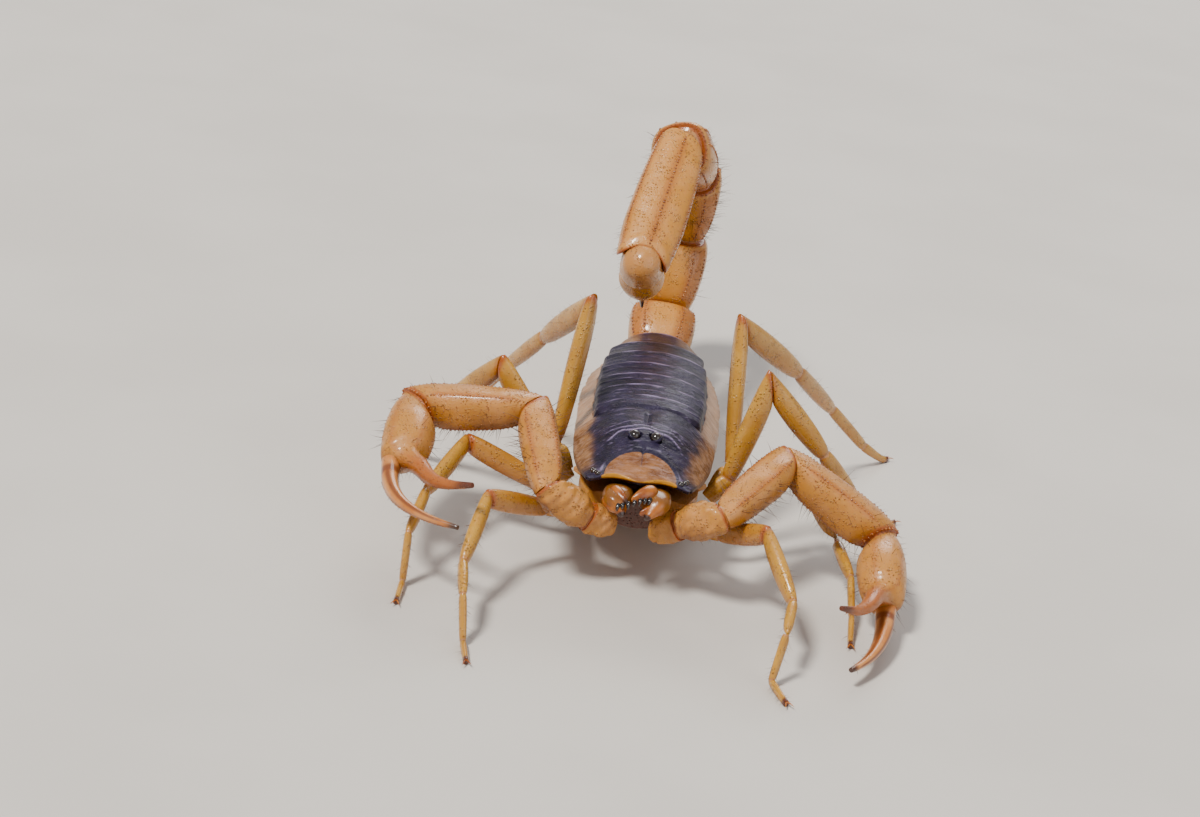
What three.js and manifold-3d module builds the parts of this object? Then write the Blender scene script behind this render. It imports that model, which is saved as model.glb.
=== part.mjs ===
// A giant desert hairy scorpion at life size, in its threat stance.
// Millimetres, +Z up, head towards -Y, the animal's left side towards +X.
// The trunk is drawn in its own frame (x across, y back from the carapace's front margin,
// z up from that margin) and then pitched. The limbs are drawn where they stand.
import * as THREE from "three";
import { mergeVertices } from "three/addons/utils/BufferGeometryUtils.js";
import Module from "manifold-3d";

const wasm = await Module();
wasm.setup();

// ---------------------------------------------------------------- driving dimensions
const GAP = 0.3; // what two neighbouring solids keep between them
const TRUNK_PITCH = 6.5; // degrees, head up
const MARGIN_HEIGHT = 11.8; // carapace front margin above the floor
const CARAPACE_LENGTH = 14;
const CARAPACE_FRONT_WIDTH = 9.9;
const CARAPACE_REAR_WIDTH = 14.6;
const MESOSOMA_START = CARAPACE_LENGTH + GAP;
const TERGITE_LENGTHS = [2.6, 3.6, 4.4, 5.0, 5.6, 6.2, 7.2];
const PLATE_THICKNESS = 0.5;
const PLATE_SINK = PLATE_THICKNESS + GAP; // how far the core lies under the plates
const TERGITE_SPAN = 56; // degrees each side of the back's ridge
const STERNITE_SPAN = 50; // degrees each side of the belly's midline
const TOE = { length: 0.8, halfHeight: 0.45, height: 0.3 }; // its underside is cut flat by the floor
const LEFT = 1;
const RIGHT = -1;

// Tail rings I to V: length, greatest width and height, rise from level (90 is straight up,
// 180 is forwards), and lean out of the upright plane.
const TAIL = [
  { name: "metasoma_1", length: 7.7, width: 7.9, height: 6.4, rise: 28, lean: 2 },
  { name: "metasoma_2", length: 9.0, width: 7.5, height: 6.3, rise: 68, lean: 4 },
  { name: "metasoma_3", length: 9.7, width: 7.4, height: 6.2, rise: 114, lean: 3 },
  { name: "metasoma_4", length: 11.5, width: 7.1, height: 6.1, rise: 149, lean: -17 },
  { name: "metasoma_5", length: 13.7, width: 7.0, height: 5.7, rise: 222, lean: 14 },
];
const TAIL_ROOT = [0, 51.7, -1.2];
const TAIL_END_RISE = 272; // ring V's mouth is cut half way between its own rise and this one
const NECK = { length: 0.9, rises: [240, 285], lean: 8 }; // the vesicle's narrow bent root
const VESICLE = { length: 7.4, width: 5.4, height: 5.2, rise: 320, lean: -4 };
const STING = { length: 4.4, width: 1.7, curl: -12 };

// Walking legs: hip in the trunk's frame, lengths of trochanter, femur, patella, tibia,
// basitarsus and tarsus, and the depth of the femur. Each side has turns (degrees out from
// straight ahead) for all six, and rises for all but the tarsus, which runs down to its toe.
const LEGS = [
  {
    hip: [6.3, 4.6, -5.1],
    lengths: [2.6, 8.2, 7.8, 4.7, 4.4, 2.8],
    depth: 2.5,
    left: { turns: [59, 35, 26, -6, -30, 24], rises: [0, 25, -29, -14, -70] },
    right: { turns: [66, 45, 10, -8, -18, -12], rises: [1, 20, -29, -12, -64] },
  },
  {
    hip: [6.7, 7.8, -4.8],
    lengths: [2.8, 9.0, 8.6, 5.8, 5.0, 3.2],
    depth: 2.6,
    left: { turns: [100, 126, 47, 14, 3, 0], rises: [2, 26, -44, -8, -22] },
    right: { turns: [112, 92, 20, 8, 4, 0], rises: [1, 23, -16, -20, -80] },
  },
  {
    hip: [7.0, 11.0, -4.4],
    lengths: [3.0, 10.6, 10.2, 7.2, 6.2, 3.6],
    depth: 2.8,
    left: { turns: [108, 118, 108, 128, 138, 140], rises: [50, 72, -48, -47, -50] },
    right: { turns: [120, 108, 136, 142, 145, 146], rises: [40, 51, -42, -50, -56] },
  },
  {
    hip: [7.5, 14.0, -4.4],
    lengths: [3.4, 14.2, 12.4, 10.2, 8.4, 4.2],
    depth: 3.0,
    left: { turns: [140, 190, 137, 145, 134, 132], rises: [46, 71, -35, -38, -42] },
    right: { turns: [130, 205, 151, 149, 146, 144], rises: [56, 74, -37, -40, -45] },
  },
];

// Pedipalps: where the trochanter starts in the trunk's frame, and the turn and rise of each
// piece. "spread" is the way from the movable finger to the fixed one across the hand.
const PALP_LENGTHS = { trochanter: 5.0, femur: 11.2, patella: 12.2, palm: 9.2 };
const PALPS = {
  left: {
    side: LEFT,
    root: [4.5, 0.6, -4.0],
    trochanter: [64, 29],
    femur: [148, 12],
    patella: [84, -31],
    palm: [0, -12],
    spread: [-0.42, 0.1, 0.9],
    fixedTip: [-4.6, -18.8, 1.3],
    movableTip: [-2.9, -20.2, -4.2],
  },
  right: {
    side: RIGHT,
    root: [-4.6, 0.8, -4.4],
    trochanter: [74, 34],
    femur: [165, 19],
    patella: [97, -9],
    palm: [-2, -12],
    spread: [0.93, 0.1, 0.36],
    fixedTip: [7.9, -17.4, 0.2],
    movableTip: [7.1, -19.4, -3.4],
  },
};

// ---------------------------------------------------------------- materials
function finish(color, roughness) {
  return new THREE.MeshStandardMaterial({ color, roughness, metalness: 0 });
}
const amber = () => finish(0xd9a752, 0.35);
const slate = () => finish(0x2e2a36, 0.4);
const cream = () => finish(0xcdb892, 0.55);
const orange = () => finish(0xb56a22, 0.3);
const black = () => finish(0x0b0908, 0.1);

// ---------------------------------------------------------------- tools
const radians = THREE.MathUtils.degToRad;
const { clamp, lerp, smoothstep } = THREE.MathUtils;
const vector = (list) => new THREE.Vector3(...list);

// A direction: turned out from straight ahead by so many degrees, and raised above level.
function heading(side, turn, rise) {
  const level = Math.cos(radians(rise));
  return new THREE.Vector3(
    side * Math.sin(radians(turn)) * level,
    -Math.cos(radians(turn)) * level,
    Math.sin(radians(rise)),
  );
}

// A direction in the tail's upright plane: 0 points back, 90 up, 180 forwards.
function tailHeading(rise, lean = 0) {
  const flat = new THREE.Vector3(0, Math.cos(radians(rise)), Math.sin(radians(rise)));
  return flat.applyAxisAngle(new THREE.Vector3(0, 1, 0), radians(lean));
}

// Reads a profile of [place, value] pairs, with straight runs between them.
function along(profile, place) {
  const last = profile.length - 1;
  const next = profile.findIndex(([start]) => start >= place);
  if (next === 0) return profile[0][1];
  if (next === -1) return profile[last][1];
  const [x0, y0] = profile[next - 1];
  const [x1, y1] = profile[next];
  return lerp(y0, y1, (place - x0) / (x1 - x0));
}

const squared = (value, power) => Math.sign(value) * Math.abs(value) ** power;

// Moves every point of a closed three.js geometry, and merges what meets.
function reshape(geometry, move) {
  geometry.deleteAttribute("normal");
  geometry.deleteAttribute("uv");
  const merged = mergeVertices(geometry, 1e-4);
  const points = merged.attributes.position;
  for (let i = 0; i < points.count; i++) {
    const moved = move(new THREE.Vector3().fromBufferAttribute(points, i));
    points.setXYZ(i, moved.x, moved.y, moved.z);
  }
  return merged;
}

// A closed limb along a chain of joints. rows are the places of its rings, as joint number plus
// share of the way to the next one. section(place, across, up) gives half width and half height.
// A ring near a joint leans into the plane that halves the bend, so neighbours never cut in.
function limb({ joints, rows, section, up, sides, before, after, boxy = 0.85, floor = -1e9 }) {
  const ways = joints.slice(1).map((p, i) => p.clone().sub(joints[i]).normalize());
  const reaches = joints.slice(1).map((p, i) => p.distanceTo(joints[i]));
  const halves = joints.map((_, j) => {
    const coming = ways[j - 1] ?? before ?? ways[0];
    const going = ways[j] ?? after ?? ways[ways.length - 1];
    return coming.clone().add(going).normalize();
  });
  const tube = new THREE.CylinderGeometry(1, 1, 1, sides, rows.length - 1);
  return reshape(tube, (p) => {
    const place = rows[Math.round((p.y + 0.5) * (rows.length - 1))];
    const link = Math.min(Math.floor(place), ways.length - 1);
    const share = place - link;
    const way = ways[link];
    const top = up.clone().addScaledVector(way, -up.dot(way)).normalize();
    const flank = way.clone().cross(top);
    const [wide, high] = section(place, p.x, p.z);
    const offset = flank.multiplyScalar(wide * squared(p.x, boxy));
    offset.addScaledVector(top, high * squared(p.z, boxy));
    const reach = 1.6 * Math.max(wide, high);
    const fromStart = 1 - (share * reaches[link] - GAP / 2) / reach;
    const fromEnd = 1 - ((1 - share) * reaches[link] - GAP / 2) / reach;
    const lean = (half, amount) =>
      (-offset.dot(half) / way.dot(half)) * clamp(amount, 0, 1);
    const slide = lean(halves[link], fromStart) + lean(halves[link + 1], fromEnd);
    const centre = joints[link].clone().lerp(joints[link + 1], share);
    const point = centre.add(offset).addScaledVector(way, slide);
    point.z = Math.max(point.z, floor);
    return point;
  });
}

// The first and last ring of a piece, set back from its joints by half a gap.
function rowsBetween(joints, shares) {
  const links = joints.length - 1;
  const setBack = (link) => GAP / 2 / joints[link].distanceTo(joints[link + 1]);
  const rows = [];
  for (let link = 0; link < links; link++) {
    for (const share of shares) rows.push(link + share);
  }
  rows[0] = setBack(0);
  rows.push(links - setBack(links - 1));
  return rows;
}

const root = new THREE.Group();
const trunk = new THREE.Group();
trunk.position.set(0, 0, MARGIN_HEIGHT);
trunk.rotation.x = radians(-TRUNK_PITCH);
root.add(trunk);
trunk.updateMatrixWorld(true);

function piece(parent, name, geometry, material) {
  const mesh = new THREE.Mesh(geometry, material);
  mesh.name = name;
  parent.add(mesh);
  return mesh;
}

function solid(geometry) {
  return new wasm.Manifold(
    new wasm.Mesh({
      numProp: 3,
      vertProperties: Float32Array.from(geometry.attributes.position.array),
      triVerts: Uint32Array.from(geometry.index.array),
    }),
  );
}

function toGeometry(manifold) {
  const mesh = manifold.getMesh();
  const geometry = new THREE.BufferGeometry();
  geometry.setAttribute("position", new THREE.BufferAttribute(mesh.vertProperties, 3));
  geometry.setIndex(new THREE.BufferAttribute(mesh.triVerts, 1));
  return geometry;
}

function ball(centre, radius, around = 12, high = 8) {
  const sphere = new THREE.SphereGeometry(radius, around, high);
  return reshape(sphere, (p) => p.add(centre));
}

// ---------------------------------------------------------------- carapace and eyes
const CARAPACE_RIDGE = [[0, 0], [1.5, 0.75], [4, 1.9], [6, 2.7], [9, 3.3], [14, 3.5]];
const CARAPACE_EDGE = [[0, -0.35], [2, -0.5], [6, -0.9], [10, -0.6], [14, -0.2]];
const CARAPACE_FLOOR = [[0, -0.55], [3.4, -0.6], [4.6, -1.5], [14, -1.9]];
const MARGIN_BAY = 0.4; // how far the front margin is set back each side of its median lobe
const MEDIAN_EYE = { across: 1.05, back: 6.1, up: 2.75, radius: 0.62 };

function carapaceHalfWidth(back) {
  const share = back / CARAPACE_LENGTH;
  return lerp(CARAPACE_FRONT_WIDTH, CARAPACE_REAR_WIDTH, Math.sin(share * 1.45)) / 2;
}

function carapaceTop(across, back) {
  const ridge = along(CARAPACE_RIDGE, back);
  const edge = along(CARAPACE_EDGE, back);
  const furrow = 0.35 * smoothstep(back, 7, 12) * Math.exp(-((across / 0.12) ** 2));
  return lerp(ridge, edge, Math.abs(across) ** 2.3) - furrow;
}

function carapace() {
  const block = new THREE.BoxGeometry(2, 1, 1, 14, 8, 1);
  const shell = reshape(block, (p) => {
    const share = p.y + 0.5;
    const back = share * CARAPACE_LENGTH;
    const bay = MARGIN_BAY * Math.sin(p.x * Math.PI) ** 2 * (1 - share) ** 8;
    const x = p.x * carapaceHalfWidth(back);
    const y = back + bay;
    const top = carapaceTop(p.x, back);
    if (p.z > 0) return new THREE.Vector3(x, y, top);
    const low = Math.min(along(CARAPACE_FLOOR, back), top - PLATE_THICKNESS);
    return new THREE.Vector3(x * 0.98, y, low);
  });
  let body = solid(shell);
  for (const side of [LEFT, RIGHT]) {
    body = body.subtract(solid(medianEye(side, MEDIAN_EYE.radius + GAP * 0.6)));
  }
  return toGeometry(body);
}

function medianEye(side, radius) {
  const centre = new THREE.Vector3(side * MEDIAN_EYE.across, MEDIAN_EYE.back, MEDIAN_EYE.up);
  return ball(centre, radius, 10, 6);
}

piece(trunk, "carapace", carapace(), slate());
piece(trunk, "eye_median_left", medianEye(LEFT, MEDIAN_EYE.radius), black());
piece(trunk, "eye_median_right", medianEye(RIGHT, MEDIAN_EYE.radius), black());

// ---------------------------------------------------------------- chelicerae
const CHELICERA = { across: 1.85, halfWidth: 1.65, halfHeight: 1.3, back: 3.0, front: -1.9 };

function chelicera(side) {
  const inset = CHELICERA.across;
  const joints = [
    new THREE.Vector3(side * inset, CHELICERA.back, -2.1),
    new THREE.Vector3(side * inset, -0.2, -2.05),
    new THREE.Vector3(side * (inset - 0.1), CHELICERA.front, -2.25),
    new THREE.Vector3(side * (inset - 0.75), -2.9, -3.1),
  ];
  const taper = [[0, 0.8], [0.6, 1], [1.4, 1], [2, 0.72], [2.5, 0.42], [3, 0.16]];
  return limb({
    joints,
    rows: [0, 0.4, 1, 1.5, 2, 2.35, 2.7, 3],
    up: new THREE.Vector3(0, 0, 1),
    sides: 10,
    section: (place) => {
      const share = along(taper, place);
      return [CHELICERA.halfWidth * share, CHELICERA.halfHeight * share];
    },
  });
}

piece(trunk, "chelicera_left", chelicera(LEFT), orange());
piece(trunk, "chelicera_right", chelicera(RIGHT), orange());

// ---------------------------------------------------------------- coxae and sternum
const UNDERSIDE = { start: 3.6, end: 13.6, top: -2.35, bottom: -6.1, halfWidth: 6.0 };

function underside() {
  const block = new THREE.BoxGeometry(2, 1, 1, 6, 10, 1);
  return reshape(block, (p) => {
    const share = p.y + 0.5;
    const across = Math.abs(p.x);
    const back = lerp(UNDERSIDE.start, UNDERSIDE.end, share);
    const halfWidth = UNDERSIDE.halfWidth * lerp(0.82, 1, Math.sin(share * Math.PI));
    const groove = 0.35 * Math.abs(Math.cos(share * Math.PI * 4)) * across;
    const low = UNDERSIDE.bottom + 1.6 * across ** 2.5 + groove;
    const top = UNDERSIDE.top - 0.5 * across ** 2;
    return new THREE.Vector3(p.x * halfWidth, back, p.z > 0 ? top : low);
  });
}

piece(trunk, "coxae", underside(), amber());

// ---------------------------------------------------------------- mesosoma
const MESOSOMA_LENGTH =
  TERGITE_LENGTHS.reduce((sum, length) => sum + length + GAP, 0) - GAP;
const MESOSOMA_END = MESOSOMA_START + MESOSOMA_LENGTH;
const FLANK = [[0, 7.3], [0.2, 7.8], [0.5, 7.9], [0.75, 7.2], [0.92, 5.7], [1, 4.4]];
const BACK = [[0, 3.6], [0.25, 3.7], [0.6, 3.2], [0.85, 2.3], [1, 1.7]];
const BELLY = [[0, -5.9], [0.4, -6.2], [0.8, -5.4], [1, -4.2]];

// A point of the trunk's outline: angle 0 is the ridge of the back, 90 the left flank.
function onMesosoma(back, angle, sink) {
  const share = clamp((back - MESOSOMA_START) / MESOSOMA_LENGTH, 0, 1);
  const top = along(BACK, share);
  const low = along(BELLY, share);
  const middle = (top + low) / 2 - 0.4;
  const turn = radians(angle);
  const high = Math.cos(turn) > 0 ? top - middle : middle - low;
  const x = (along(FLANK, share) - sink) * squared(Math.sin(turn), 0.9);
  const z = (high - sink) * squared(Math.cos(turn), 0.9);
  return new THREE.Vector3(x, back, middle + z);
}

// The soft core shows only at the flanks. Under the plates it lies deeper.
function abdomen() {
  const tube = new THREE.CylinderGeometry(1, 1, 1, 18, 10);
  return reshape(tube, (p) => {
    const share = p.y + 0.5;
    const back = lerp(MESOSOMA_START, MESOSOMA_END, share);
    if (p.x === 0 && p.z === 0) return onMesosoma(back, 90, 0).setX(0);
    const angle = THREE.MathUtils.radToDeg(Math.atan2(p.x, p.z));
    const fromFlank = Math.abs(Math.abs(angle) - 92);
    const sink = PLATE_SINK * 1.15 * smoothstep(fromFlank, 14, 34) + 0.1;
    return onMesosoma(back, angle, sink);
  });
}

// One plate of the back or the belly, from y0 to y1, with a rear lip that stands proud.
function plate(y0, y1, middle, span, columns) {
  const block = new THREE.BoxGeometry(2, 1, 1, columns, 2, 1);
  return reshape(block, (p) => {
    const share = p.y + 0.5;
    const corner = 0.12 * Math.abs(p.x) ** 6 * (y1 - y0);
    const back = lerp(y0 + corner, y1 - corner, share);
    const lip = 0.18 * smoothstep(share, 0.4, 1);
    const sink = p.z > 0 ? -lip : PLATE_THICKNESS;
    return onMesosoma(back, middle + p.x * span, sink);
  });
}

piece(trunk, "abdomen", abdomen(), cream());
let tergiteStart = MESOSOMA_START;
TERGITE_LENGTHS.forEach((length, i) => {
  const shell = plate(tergiteStart, tergiteStart + length, 0, TERGITE_SPAN, 8);
  piece(trunk, `tergite_${i + 1}`, shell, slate());
  tergiteStart += length + GAP;
});

const STERNITE_START = MESOSOMA_START + 6.4;
const STERNITE_LENGTHS = [5.0, 5.2, 5.4, 5.8, 6.6];
let sterniteStart = STERNITE_START;
STERNITE_LENGTHS.forEach((length, i) => {
  const shell = plate(sterniteStart, sterniteStart + length, 180, STERNITE_SPAN, 8);
  piece(trunk, `sternite_${i + 3}`, shell, cream());
  sterniteStart += length + GAP;
});

// The combs: a bent shaft with a row of flat teeth along its rear edge.
const PECTEN = {
  across: 1.2,
  back: MESOSOMA_START + 1.6,
  up: -7.1,
  length: 7.4,
  shaft: 1.3,
  tooth: 1.5,
  teeth: 10,
  thickness: 0.5,
  sweep: 28,
};

function pecten(side) {
  const outline = new THREE.Shape();
  outline.moveTo(0, 0);
  outline.quadraticCurveTo(PECTEN.length * 0.6, -0.6, PECTEN.length, 1.2);
  const pitch = PECTEN.length / PECTEN.teeth;
  for (let i = PECTEN.teeth - 1; i >= 0; i--) {
    const rear = PECTEN.shaft + 1.3 * ((i + 0.5) / PECTEN.teeth) ** 2;
    outline.lineTo((i + 0.85) * pitch, rear);
    outline.lineTo((i + 0.7) * pitch, rear + PECTEN.tooth);
    outline.lineTo((i + 0.3) * pitch, rear + PECTEN.tooth);
    outline.lineTo((i + 0.15) * pitch, rear);
  }
  outline.lineTo(0, PECTEN.shaft);
  const comb = new THREE.ExtrudeGeometry(outline, {
    depth: PECTEN.thickness,
    bevelEnabled: false,
    curveSegments: 4,
  });
  if (side === RIGHT) {
    comb.rotateY(Math.PI);
    comb.translate(0, 0, PECTEN.thickness);
  }
  comb.rotateZ(radians(side * PECTEN.sweep));
  comb.rotateY(radians(-side * 8));
  comb.translate(side * PECTEN.across, PECTEN.back, PECTEN.up);
  return reshape(comb, (p) => p);
}

piece(trunk, "pecten_left", pecten(LEFT), amber());
piece(trunk, "pecten_right", pecten(RIGHT), amber());

const OPERCULUM = { back: MESOSOMA_START + 0.1, halfWidth: 2.0, halfLength: 1.3, up: -6.5 };
const operculum = reshape(new THREE.BoxGeometry(2, 2, 0.5, 4, 2, 1), (p) => {
  const rounding = 1 - 0.25 * p.x ** 2;
  return new THREE.Vector3(
    p.x * OPERCULUM.halfWidth,
    OPERCULUM.back + p.y * OPERCULUM.halfLength * rounding,
    OPERCULUM.up + p.z,
  );
});
piece(trunk, "genital_operculum", operculum, amber());

// ---------------------------------------------------------------- tail
const TAIL_SIDES = 12;

function inWorld(list) {
  return trunk.localToWorld(vector(list));
}

// Keels stand out a little at the section's corners, between its flatter faces.
function keeled(across, up) {
  return 1 + 0.07 * Math.abs(Math.sin(2 * Math.atan2(across, up))) ** 3;
}

const RING_PROFILE = [[0, 0.7], [0.09, 0.84], [0.3, 0.93], [0.7, 1], [0.93, 0.99], [1, 0.86]];
const tailJoints = [inWorld(TAIL_ROOT)];
const tailWays = TAIL.map(({ rise, lean }) => tailHeading(rise, lean));
TAIL.forEach(({ length }, i) => {
  tailJoints.push(tailJoints[i].clone().addScaledVector(tailWays[i], length));
});

TAIL.forEach(({ name, width, height, rise, lean }, i) => {
  const joints = [tailJoints[i], tailJoints[i + 1]];
  const arch = tailHeading(rise + 90, lean);
  const rows = rowsBetween(joints, [0, 0.09, 0.3, 0.55, 0.8, 0.93]);
  const shell = limb({
    joints,
    rows,
    up: arch,
    sides: TAIL_SIDES,
    before: tailWays[i - 1] ?? tailHeading(-TRUNK_PITCH),
    after: tailWays[i + 1] ?? tailHeading(TAIL_END_RISE, lean),
    section: (place, across, up) => {
      const share = along(RING_PROFILE, place) * keeled(across, up);
      return [(width / 2) * share, (height / 2) * share];
    },
  });
  piece(root, name, shell, amber());
});

const VESICLE_PROFILE = [
  [0, 0.42], [1, 0.44], [2, 0.5],
  [2.12, 0.68], [2.3, 0.9], [2.5, 1], [2.75, 0.84], [2.93, 0.48], [3, 0.36],
];
const vesicleWay = tailHeading(VESICLE.rise, VESICLE.lean);
const vesicleUp = tailHeading(VESICLE.rise + 90, VESICLE.lean);
const vesicleJoints = [tailJoints[5]];
NECK.rises.forEach((rise, i) => {
  const step = tailHeading(rise, NECK.lean).multiplyScalar(NECK.length);
  vesicleJoints.push(vesicleJoints[i].clone().add(step));
});
const vesicleEnd = vesicleJoints[2].clone().addScaledVector(vesicleWay, VESICLE.length);
vesicleJoints.push(vesicleEnd);
const vesicle = limb({
  joints: vesicleJoints,
  rows: [GAP / NECK.length, 1, 2, 2.12, 2.2, 2.3, 2.4, 2.5, 2.62, 2.75, 2.85, 2.93, 2.98],
  up: vesicleUp,
  sides: 12,
  boxy: 1,
  section: (place) => {
    const share = along(VESICLE_PROFILE, place);
    return [(VESICLE.width / 2) * share, (VESICLE.height / 2) * share];
  },
});
piece(root, "telson_vesicle", vesicle, amber());

// The sting hooks towards the tail's underside.
const stingLinks = 4;
const stingJoints = [vesicleEnd.clone().addScaledVector(vesicleWay, GAP * 0.8)];
for (let i = 0; i < stingLinks; i++) {
  const rise = VESICLE.rise + (STING.curl * (i + 0.5)) / stingLinks;
  const step = tailHeading(rise, VESICLE.lean).multiplyScalar(STING.length / stingLinks);
  stingJoints.push(stingJoints[i].clone().add(step));
}
const sting = limb({
  joints: stingJoints,
  rows: [0, 1, 2, 3, 4],
  up: vesicleUp,
  sides: 8,
  boxy: 1,
  section: (place) => {
    const half = lerp(STING.width / 2, 0.14, place / stingLinks);
    return [half, half];
  },
});
piece(root, "sting", sting, black());

// ---------------------------------------------------------------- walking legs
const UPPER_PROFILE = [
  [0, 0.66], [0.5, 0.84], [1, 0.66],
  [1.12, 0.82], [1.5, 1], [1.88, 0.95], [2, 0.72],
];
const LOWER_DEPTHS = [
  [0, 0.66], [0.12, 0.84], [0.5, 0.96], [0.88, 0.78], [1, 0.56],
  [1.12, 0.66], [1.5, 0.68], [1.9, 0.58], [2, 0.44],
  [2.15, 0.5], [2.85, 0.46], [3, 0.38], [3.25, 0.4], [5, 0.3],
];
const LOWER_ROWS = [0, 0.14, 0.5, 0.86, 1, 1.14, 1.5, 1.86, 2, 2.15, 2.86, 3, 3.25, 4, 5];

const upright = new THREE.Vector3(0, 0, 1);

function legJoints(leg, pose, side) {
  const [across, back, up] = leg.hip;
  const joints = [inWorld([side * across, back, up])];
  pose.rises.forEach((rise, i) => {
    const step = heading(side, pose.turns[i], rise).multiplyScalar(leg.lengths[i]);
    joints.push(joints[i].clone().add(step));
  });
  const ankle = joints[5];
  const fall = Math.asin((ankle.z - TOE.height) / leg.lengths[5]);
  const tarsus = heading(side, pose.turns[5], -THREE.MathUtils.radToDeg(fall));
  joints.push(ankle.clone().addScaledVector(tarsus, leg.lengths[5]));
  const toe = heading(side, pose.turns[5], 0);
  joints.push(joints[6].clone().addScaledVector(toe, TOE.length));
  return joints;
}

function upperLeg(leg, joints) {
  const span = joints.slice(0, 3);
  return limb({
    joints: span,
    rows: rowsBetween(span, [0, 0.16, 0.5, 0.88]),
    up: upright,
    sides: 8,
    after: joints[3].clone().sub(joints[2]).normalize(),
    section: (place) => {
      const half = (leg.depth / 2) * along(UPPER_PROFILE, place);
      return [half * 0.62, half];
    },
  });
}

function lowerLeg(leg, joints) {
  const span = joints.slice(2);
  return limb({
    joints: span,
    rows: [GAP / 2 / leg.lengths[2], ...LOWER_ROWS.slice(1)],
    up: upright,
    sides: 8,
    before: joints[2].clone().sub(joints[1]).normalize(),
    floor: 0,
    section: (place) => {
      const half = (leg.depth / 2) * along(LOWER_DEPTHS, place);
      const high = lerp(half, TOE.halfHeight, smoothstep(place, 3.25, 4));
      return [Math.max(half * 0.68, 0.3), high];
    },
  });
}

LEGS.forEach((leg, i) => {
  for (const [label, side] of [["left", LEFT], ["right", RIGHT]]) {
    const joints = legJoints(leg, leg[label], side);
    piece(root, `leg_${i + 1}_${label}_upper`, upperLeg(leg, joints), amber());
    piece(root, `leg_${i + 1}_${label}_lower`, lowerLeg(leg, joints), amber());
  }
});

// ---------------------------------------------------------------- pedipalps
const PALP_SECTIONS = {
  coxa: { half: [1.5, 1.9], profile: [[0, 0.55], [0.4, 0.9], [1, 0.85]] },
  trochanter: { half: [1.9, 2.0], profile: [[0, 0.66], [0.35, 1], [0.75, 1], [1, 0.7]] },
  femur: { half: [2.1, 1.8], profile: [[0, 0.62], [0.15, 0.86], [0.5, 1], [0.88, 1], [1, 0.8]] },
  patella: { half: [2.3, 2.3], profile: [[0, 0.6], [0.14, 0.84], [0.5, 1], [0.86, 1], [1, 0.72]] },
};

function palpPiece(kind, joints, before, after, up) {
  const { half, profile } = PALP_SECTIONS[kind];
  return limb({
    joints,
    rows: rowsBetween(joints, [0, 0.15, 0.35, 0.6, 0.85]),
    up,
    sides: 10,
    before,
    after,
    boxy: 0.75,
    section: (place) => half.map((size) => size * along(profile, place)),
  });
}

// The palm swells, then steps down on its inner side to the fixed finger, which curves in.
const PALM_HALF = [2.6, 2.8];
const PALM_SWELL = [[0, 0.5], [0.2, 0.82], [0.5, 1], [0.8, 0.95], [1, 0.82]];
const FINGER_HALF = [0.95, 0.85];
const FIXED_OFFSET = 1.9; // from the palm's middle to the fixed finger's root
const MOVABLE_OFFSET = 1.2; // and the other way to the movable finger's root

function fingerCurve(start, way, tip) {
  const bend = start.clone().addScaledVector(way, start.distanceTo(tip) * 0.55);
  return new THREE.QuadraticBezierCurve3(start, bend, tip);
}

function hand(wrist, way, spread, tip, before) {
  const knuckle = wrist.clone().addScaledVector(way, PALP_LENGTHS.palm * 0.98);
  const fingerRoot = knuckle.clone().addScaledVector(spread, FIXED_OFFSET);
  const curve = fingerCurve(fingerRoot, way, tip);
  const palmRows = [0.016, 0.1, 0.25, 0.45, 0.65, 0.85, 0.97];
  const fingerLinks = 5;
  const joints = [wrist, knuckle];
  for (let i = 1; i <= fingerLinks; i++) joints.push(curve.getPoint(i / fingerLinks));
  const rows = [...palmRows];
  for (let i = 1; i <= fingerLinks; i++) rows.push(1 + i);
  rows.splice(palmRows.length, 0, 1.12);
  return limb({
    joints,
    rows,
    up: spread,
    sides: 10,
    before,
    section: (place) => {
      if (place < 1) return PALM_HALF.map((size) => size * along(PALM_SWELL, place));
      const taper = lerp(1.25, 0.3, (place - 1) / fingerLinks);
      return FINGER_HALF.map((size) => Math.max(size * taper, 0.26));
    },
  });
}

function movableFinger(wrist, way, spread, tip) {
  const start = wrist.clone().addScaledVector(way, PALP_LENGTHS.palm + GAP * 4);
  start.addScaledVector(spread, -MOVABLE_OFFSET);
  const curve = fingerCurve(start, way, tip);
  const links = 7;
  const joints = [];
  for (let i = 0; i <= links; i++) joints.push(curve.getPoint(i / links));
  return limb({
    joints,
    rows: joints.map((_, i) => i),
    up: spread,
    sides: 8,
    section: (place) => {
      const taper = lerp(1.2, 0.3, place / links);
      return FINGER_HALF.map((size) => Math.max(size * taper, 0.26));
    },
  });
}

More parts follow.
